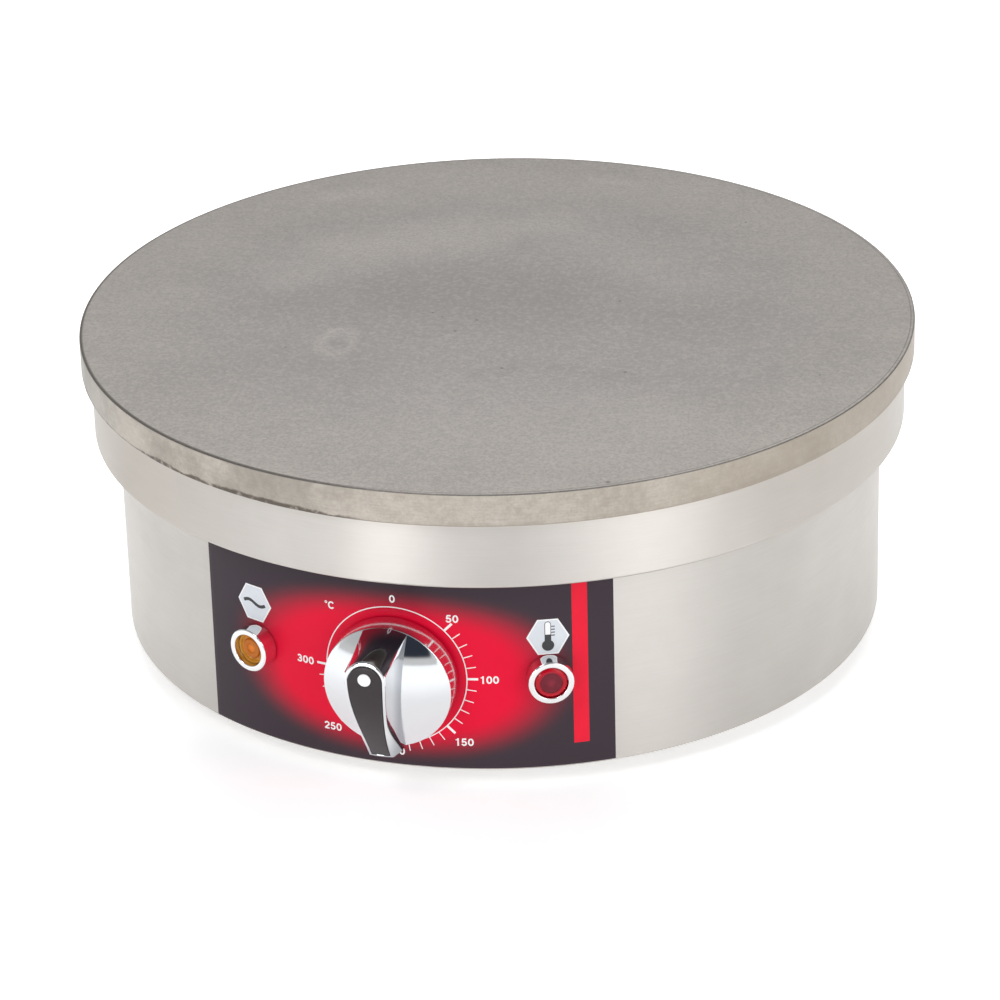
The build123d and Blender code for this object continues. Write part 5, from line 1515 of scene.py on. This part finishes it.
class CREPE_OT_knob(bpy.types.Operator):
    """Forms the plated knob with its grip bar, dark inlay and index dot."""

    bl_idname = "crepe.knob"
    bl_label = "Thermostat Knob"

    def execute(self, context):
        settings = context.scene.crepe_maker.knob
        place = standing(0.0, LABEL_RADIUS, DIAL_LEVEL)
        edge, border, wall = settings.edge, settings.border, settings.wall
        chrome = chrome_finish("knob_chrome", settings.chrome, 0.06, foot=settings.skirt + settings.dome)
        satin = chrome_finish("skirt_chrome", settings.chrome, 0.06, settings.rim - 0.0008)
        form = turned(skirt_outline(settings), TURN_STEPS // 2)
        keep_flats(piece("knob_skirt", form, [satin], KNOB, place, ["knob_shell"]))

        shares = (0.0, 0.25, 0.5, 0.75)
        rings = [crest_ring(border, INLAY_DEPTH, inward) for inward in (*shares, 1.0)]
        rings += [crest_ring(border, HAIR), crest_ring(border - HAIR, 0.0)]
        rings += [crest_ring(edge, 0.0), crest_ring(edge * 0.3, edge * 0.3)]
        rings += bar_walls(settings)
        rings += [foot_ring(settings, wall)]
        deep = border + wall, INLAY_DEPTH + wall
        rings += [crest_ring(*deep, inward) for inward in (1.0, *reversed(shares))]
        keep_flats(piece("knob_bar", lofted(rings), [chrome], KNOB, place, crease=32.0))

        inset = border + settings.groove
        soft = INLAY_EDGE
        rings = [crest_ring(inset, INLAY_DEPTH - HAIR, inward) for inward in (*shares, 1.0)]
        rings += [crest_ring(inset, soft), crest_ring(inset + soft * 0.3, soft * 0.3)]
        crowned = (1.0, 0.9, 0.75, 0.5, 0.25, 0.0)
        rings += [crest_ring(inset + soft, 0.0, inward, INLAY_CROWN) for inward in crowned]
        grain = 0.30, 0.000004, 0.0010
        inlay = plastic_finish("knob_inlay", settings.inlay, *grain, Specular_IOR_Level=0.22)
        keep_flats(piece("inlay", lofted(rings), [inlay], KNOB, place, ["knob_insert"]))

        white = plastic_finish("index_white", (0.86, 0.86, 0.86, 1.0), 0.3)
        dot = settings.dot
        outline = [(0.0, -DOT_DEEP), (dot, -DOT_DEEP), (dot, DOT_RISE * 0.5), (dot * 0.93, DOT_RISE)]
        outline += [(dot * 0.5, DOT_RISE * 1.1), (0.0, DOT_RISE * 1.1)]
        form = turned(outline, SMALL_TURN_STEPS, closed=False)
        bmesh.ops.rotate(form, verts=form.verts, cent=(0, 0, 0), matrix=Matrix.Rotation(math.pi, 3, "Z"))
        for vertex in form.verts:
            vertex.co.y += settings.dot_up
            across = min(abs(vertex.co.x) / (curve_at(CREST_HALF, vertex.co.y) - inset), 1.0)
            vertex.co.z += curve_at(CREST_LEVEL, vertex.co.y) + INLAY_CROWN * (1 - across**2)
        piece("index_dot", form, [white], KNOB, place, ["knob_dot"])
        return {"FINISHED"}


# ------------------------------------------------------------------ fittings

class CREPE_OT_fittings(bpy.types.Operator):
    """Finishes the base, feet, gland and inner pieces that stay as they come."""

    bl_idname = "crepe.fittings"
    bl_label = "Fittings"

    def execute(self, context):
        made = {}
        slots = {part["node"]: part["material_slot"] for part in frame["record"]["subparts"]}
        for node, thing in frame["nodes"].items():
            slot = slots[node]
            if thing.hide_render or slot not in SLOT_FINISHES:
                continue
            if slot not in made:
                finish, *values = SLOT_FINISHES[slot]
                made[slot] = finish(*values)
            if not thing.material_slots:
                raise RuntimeError(f"{node} has no material slot to dress")
            for dressed in thing.material_slots:
                dressed.link = "OBJECT"
                dressed.material = made[slot]
        return {"FINISHED"}


# ------------------------------------------------------------------ studio

# Softboxes: turn from the camera in degrees, distance, height, width and height of the cloth, watts.
SOFTBOXES = (
    ("left_softbox", -34.0, 2.0, 2.3, (0.9, 1.2), 17.0),
    ("low_left_softbox", -29.0, 2.6, 0.35, (0.5, 0.5), 9.0),
    ("right_softbox", 38.0, 2.6, 1.0, (1.50, 1.8), 19.0),
    ("top_softbox", 175.0, 1.6, 2.0, (2.6, 1.2), 40.0),
)
AIM = Vector((0.0, 0.0, 0.08))          # where the softboxes point
SKY_LOW = (1.0, 1.0, 1.0, 1)
SKY_HIGH = (0.72, 0.74, 0.77, 1)
HORIZON = (1.15, 1.15, 1.15, 1)
BLACK = (0.0, 0.0, 0.0, 1)
# Dimmer part of the room, right of the object and behind it: where it starts and is full from
# the camera's heading, how far before the back it fades out, and how strong it is.
DIM_START = 1.80
DIM_FULL = 2.15
DIM_END = 0.35
DIM_SHARE = 0.25
# Unlit part behind the camera: its middle from the camera's heading, half its width and its edge.
ROOM_TURN = math.radians(-20.0)
ROOM_HALF = math.radians(25.0)
ROOM_EDGE = 0.10
ROOM_TONE = (0.05, 0.06, 0.085, 1)


def surroundings(settings):
    """White room whose light falls off upwards, with an unlit part behind the camera."""
    world = bpy.data.worlds.new("surroundings")
    world.use_nodes = True
    tree = Tree(world.node_tree)
    split = tree.parts(tree.add("ShaderNodeTexCoord", {}).outputs["Generated"])
    up = split[2]
    bearing = tree.round_turn(split)
    heading = settings.heading
    sky = tree.mix(tree.between(up, -0.1, 0.8), SKY_LOW, SKY_HIGH)
    sky = tree.mix(tree.between(up, 0.14, 0.02), sky, HORIZON)
    dim = tree.between(bearing, heading + DIM_START, heading + DIM_FULL)
    dim = tree.math("MULTIPLY", dim, tree.between(bearing, math.pi, math.pi - DIM_END))
    sky = tree.over(sky, dim, DIM_SHARE, BLACK)
    off = tree.math("ABSOLUTE", tree.math("SUBTRACT", bearing, heading + ROOM_TURN))
    room = tree.between(off, ROOM_HALF + ROOM_EDGE, ROOM_HALF)
    room = tree.math("MULTIPLY", room, tree.between(up, 0.06, 0.12))
    room = tree.math("MULTIPLY", room, tree.between(up, 0.90, 0.60))
    light = {"Color": tree.mix(room, sky, ROOM_TONE), "Strength": settings.daylight}
    tree.feed(world.node_tree.nodes["Background"].inputs, light)
    return world


def camera_place(settings):
    """Camera's frame: aimed past the middle of the griddle's face, then rolled and turned."""
    spot = Vector((0, -math.cos(settings.elevation), math.sin(settings.elevation))) * settings.distance
    ahead = -spot.normalized()
    right = Vector((1, 0, 0))
    ahead = (ahead + right * settings.pan + right.cross(ahead) * settings.tilt).normalized()
    right = ahead.cross(Vector((0, 0, 1))).normalized()
    up = right.cross(ahead)
    cos, sin = math.cos(settings.roll), math.sin(settings.roll)
    place = Matrix((right * cos + up * sin, up * cos - right * sin, -ahead)).transposed().to_4x4()
    place.translation = spot
    return Matrix.Rotation(settings.heading, 4, "Z") @ Matrix.Translation((0, 0, PLATE_HIGH.z)) @ place


class CREPE_OT_studio(bpy.types.Operator):
    """Sets the white floor, the soft lights and the camera."""

    bl_idname = "crepe.studio"
    bl_label = "Studio"

    def execute(self, context):
        settings = context.scene.crepe_maker.studio
        scene = context.scene
        half = settings.floor / 2
        mesh = bpy.data.meshes.new("floor")
        corners = [(-half, -half, 0), (half, -half, 0), (half, half, 0), (-half, half, 0)]
        mesh.from_pydata(corners, [], [range(4)])
        glow = {"Emission_Color": (1.0, 1.0, 1.0, 1.0), "Emission_Strength": settings.table_light}
        white = (0.93, 0.93, 0.93, 1.0)
        mesh.materials.append(plastic_finish("studio_white", white, 0.75, 0.00001, 0.02, **glow))
        floor = bpy.data.objects.new("floor", mesh)
        scene.collection.objects.link(floor)
        scene.world = surroundings(settings)

        for name, turn, distance, level, size, power in SOFTBOXES:
            light = bpy.data.lights.new(name, "AREA")
            light.shape = "RECTANGLE"
            light.size, light.size_y = size
            light.energy = power
            lamp = bpy.data.objects.new(name, light)
            scene.collection.objects.link(lamp)
            lamp.location = spot_at(settings.heading + math.radians(turn), distance, level)
            lamp.rotation_euler = (AIM - lamp.location).to_track_quat("-Z", "Y").to_euler()

        view = bpy.data.cameras.new("camera")
        view.lens = settings.lens
        view.sensor_width = 36.0
        view.clip_start = 0.05
        view.clip_end = 50.0
        camera = bpy.data.objects.new("camera", view)
        scene.collection.objects.link(camera)
        camera.matrix_world = camera_place(settings)
        scene.camera = camera
        scene.view_settings.view_transform = "Standard"
        return {"FINISHED"}


# ------------------------------------------------------------------ panel and registration

# Settings and operators of each box in the panel, in the order in which main builds them.
PANEL_ROWS = (
    ("studio", [CREPE_OT_studio]),
    ("griddle", [CREPE_OT_griddle]),
    ("steel", [CREPE_OT_collar, CREPE_OT_body]),
    ("label", [CREPE_OT_label]),
    ("dial", [CREPE_OT_dial]),
    ("lamp", [CREPE_OT_lamps]),
    ("knob", [CREPE_OT_knob]),
    ("", [CREPE_OT_fittings]),
)


class CREPE_PT_maker(bpy.types.Panel):
    """Buttons and settings of the crepe maker."""

    bl_label = "Crepe Maker"
    bl_idname = "CREPE_PT_maker"
    bl_space_type = "VIEW_3D"
    bl_region_type = "UI"
    bl_category = "Crepe Maker"

    def draw(self, context):
        settings = context.scene.crepe_maker
        for name, operators in PANEL_ROWS:
            box = self.layout.box()
            for operator in operators:
                box.operator(operator.bl_idname)
            if name:
                for item in getattr(settings, name).bl_rna.properties:
                    if item.identifier not in {"rna_type", "name"}:
                        box.prop(getattr(settings, name), item.identifier)


CLASSES = [
    GriddleSettings,
    SteelSettings,
    LabelSettings,
    DialSettings,
    LampSettings,
    KnobSettings,
    StudioSettings,
    CrepeMakerSettings,
]
CLASSES += [operator for _, operators in PANEL_ROWS for operator in operators] + [CREPE_PT_maker]


def register():
    for item in CLASSES:
        bpy.utils.register_class(item)
    bpy.types.Scene.crepe_maker = PointerProperty(type=CrepeMakerSettings)


def unregister():
    del bpy.types.Scene.crepe_maker
    for item in reversed(CLASSES):
        bpy.utils.unregister_class(item)


def main():
    """Builds everything in order."""
    register()
    build_groups()
    bpy.ops.crepe.studio()
    bpy.ops.crepe.griddle()
    bpy.ops.crepe.collar()
    bpy.ops.crepe.body()
    bpy.ops.crepe.label()
    bpy.ops.crepe.dial()
    bpy.ops.crepe.lamps()
    bpy.ops.crepe.knob()
    bpy.ops.crepe.fittings()


if __name__ == "__main__":
    main()
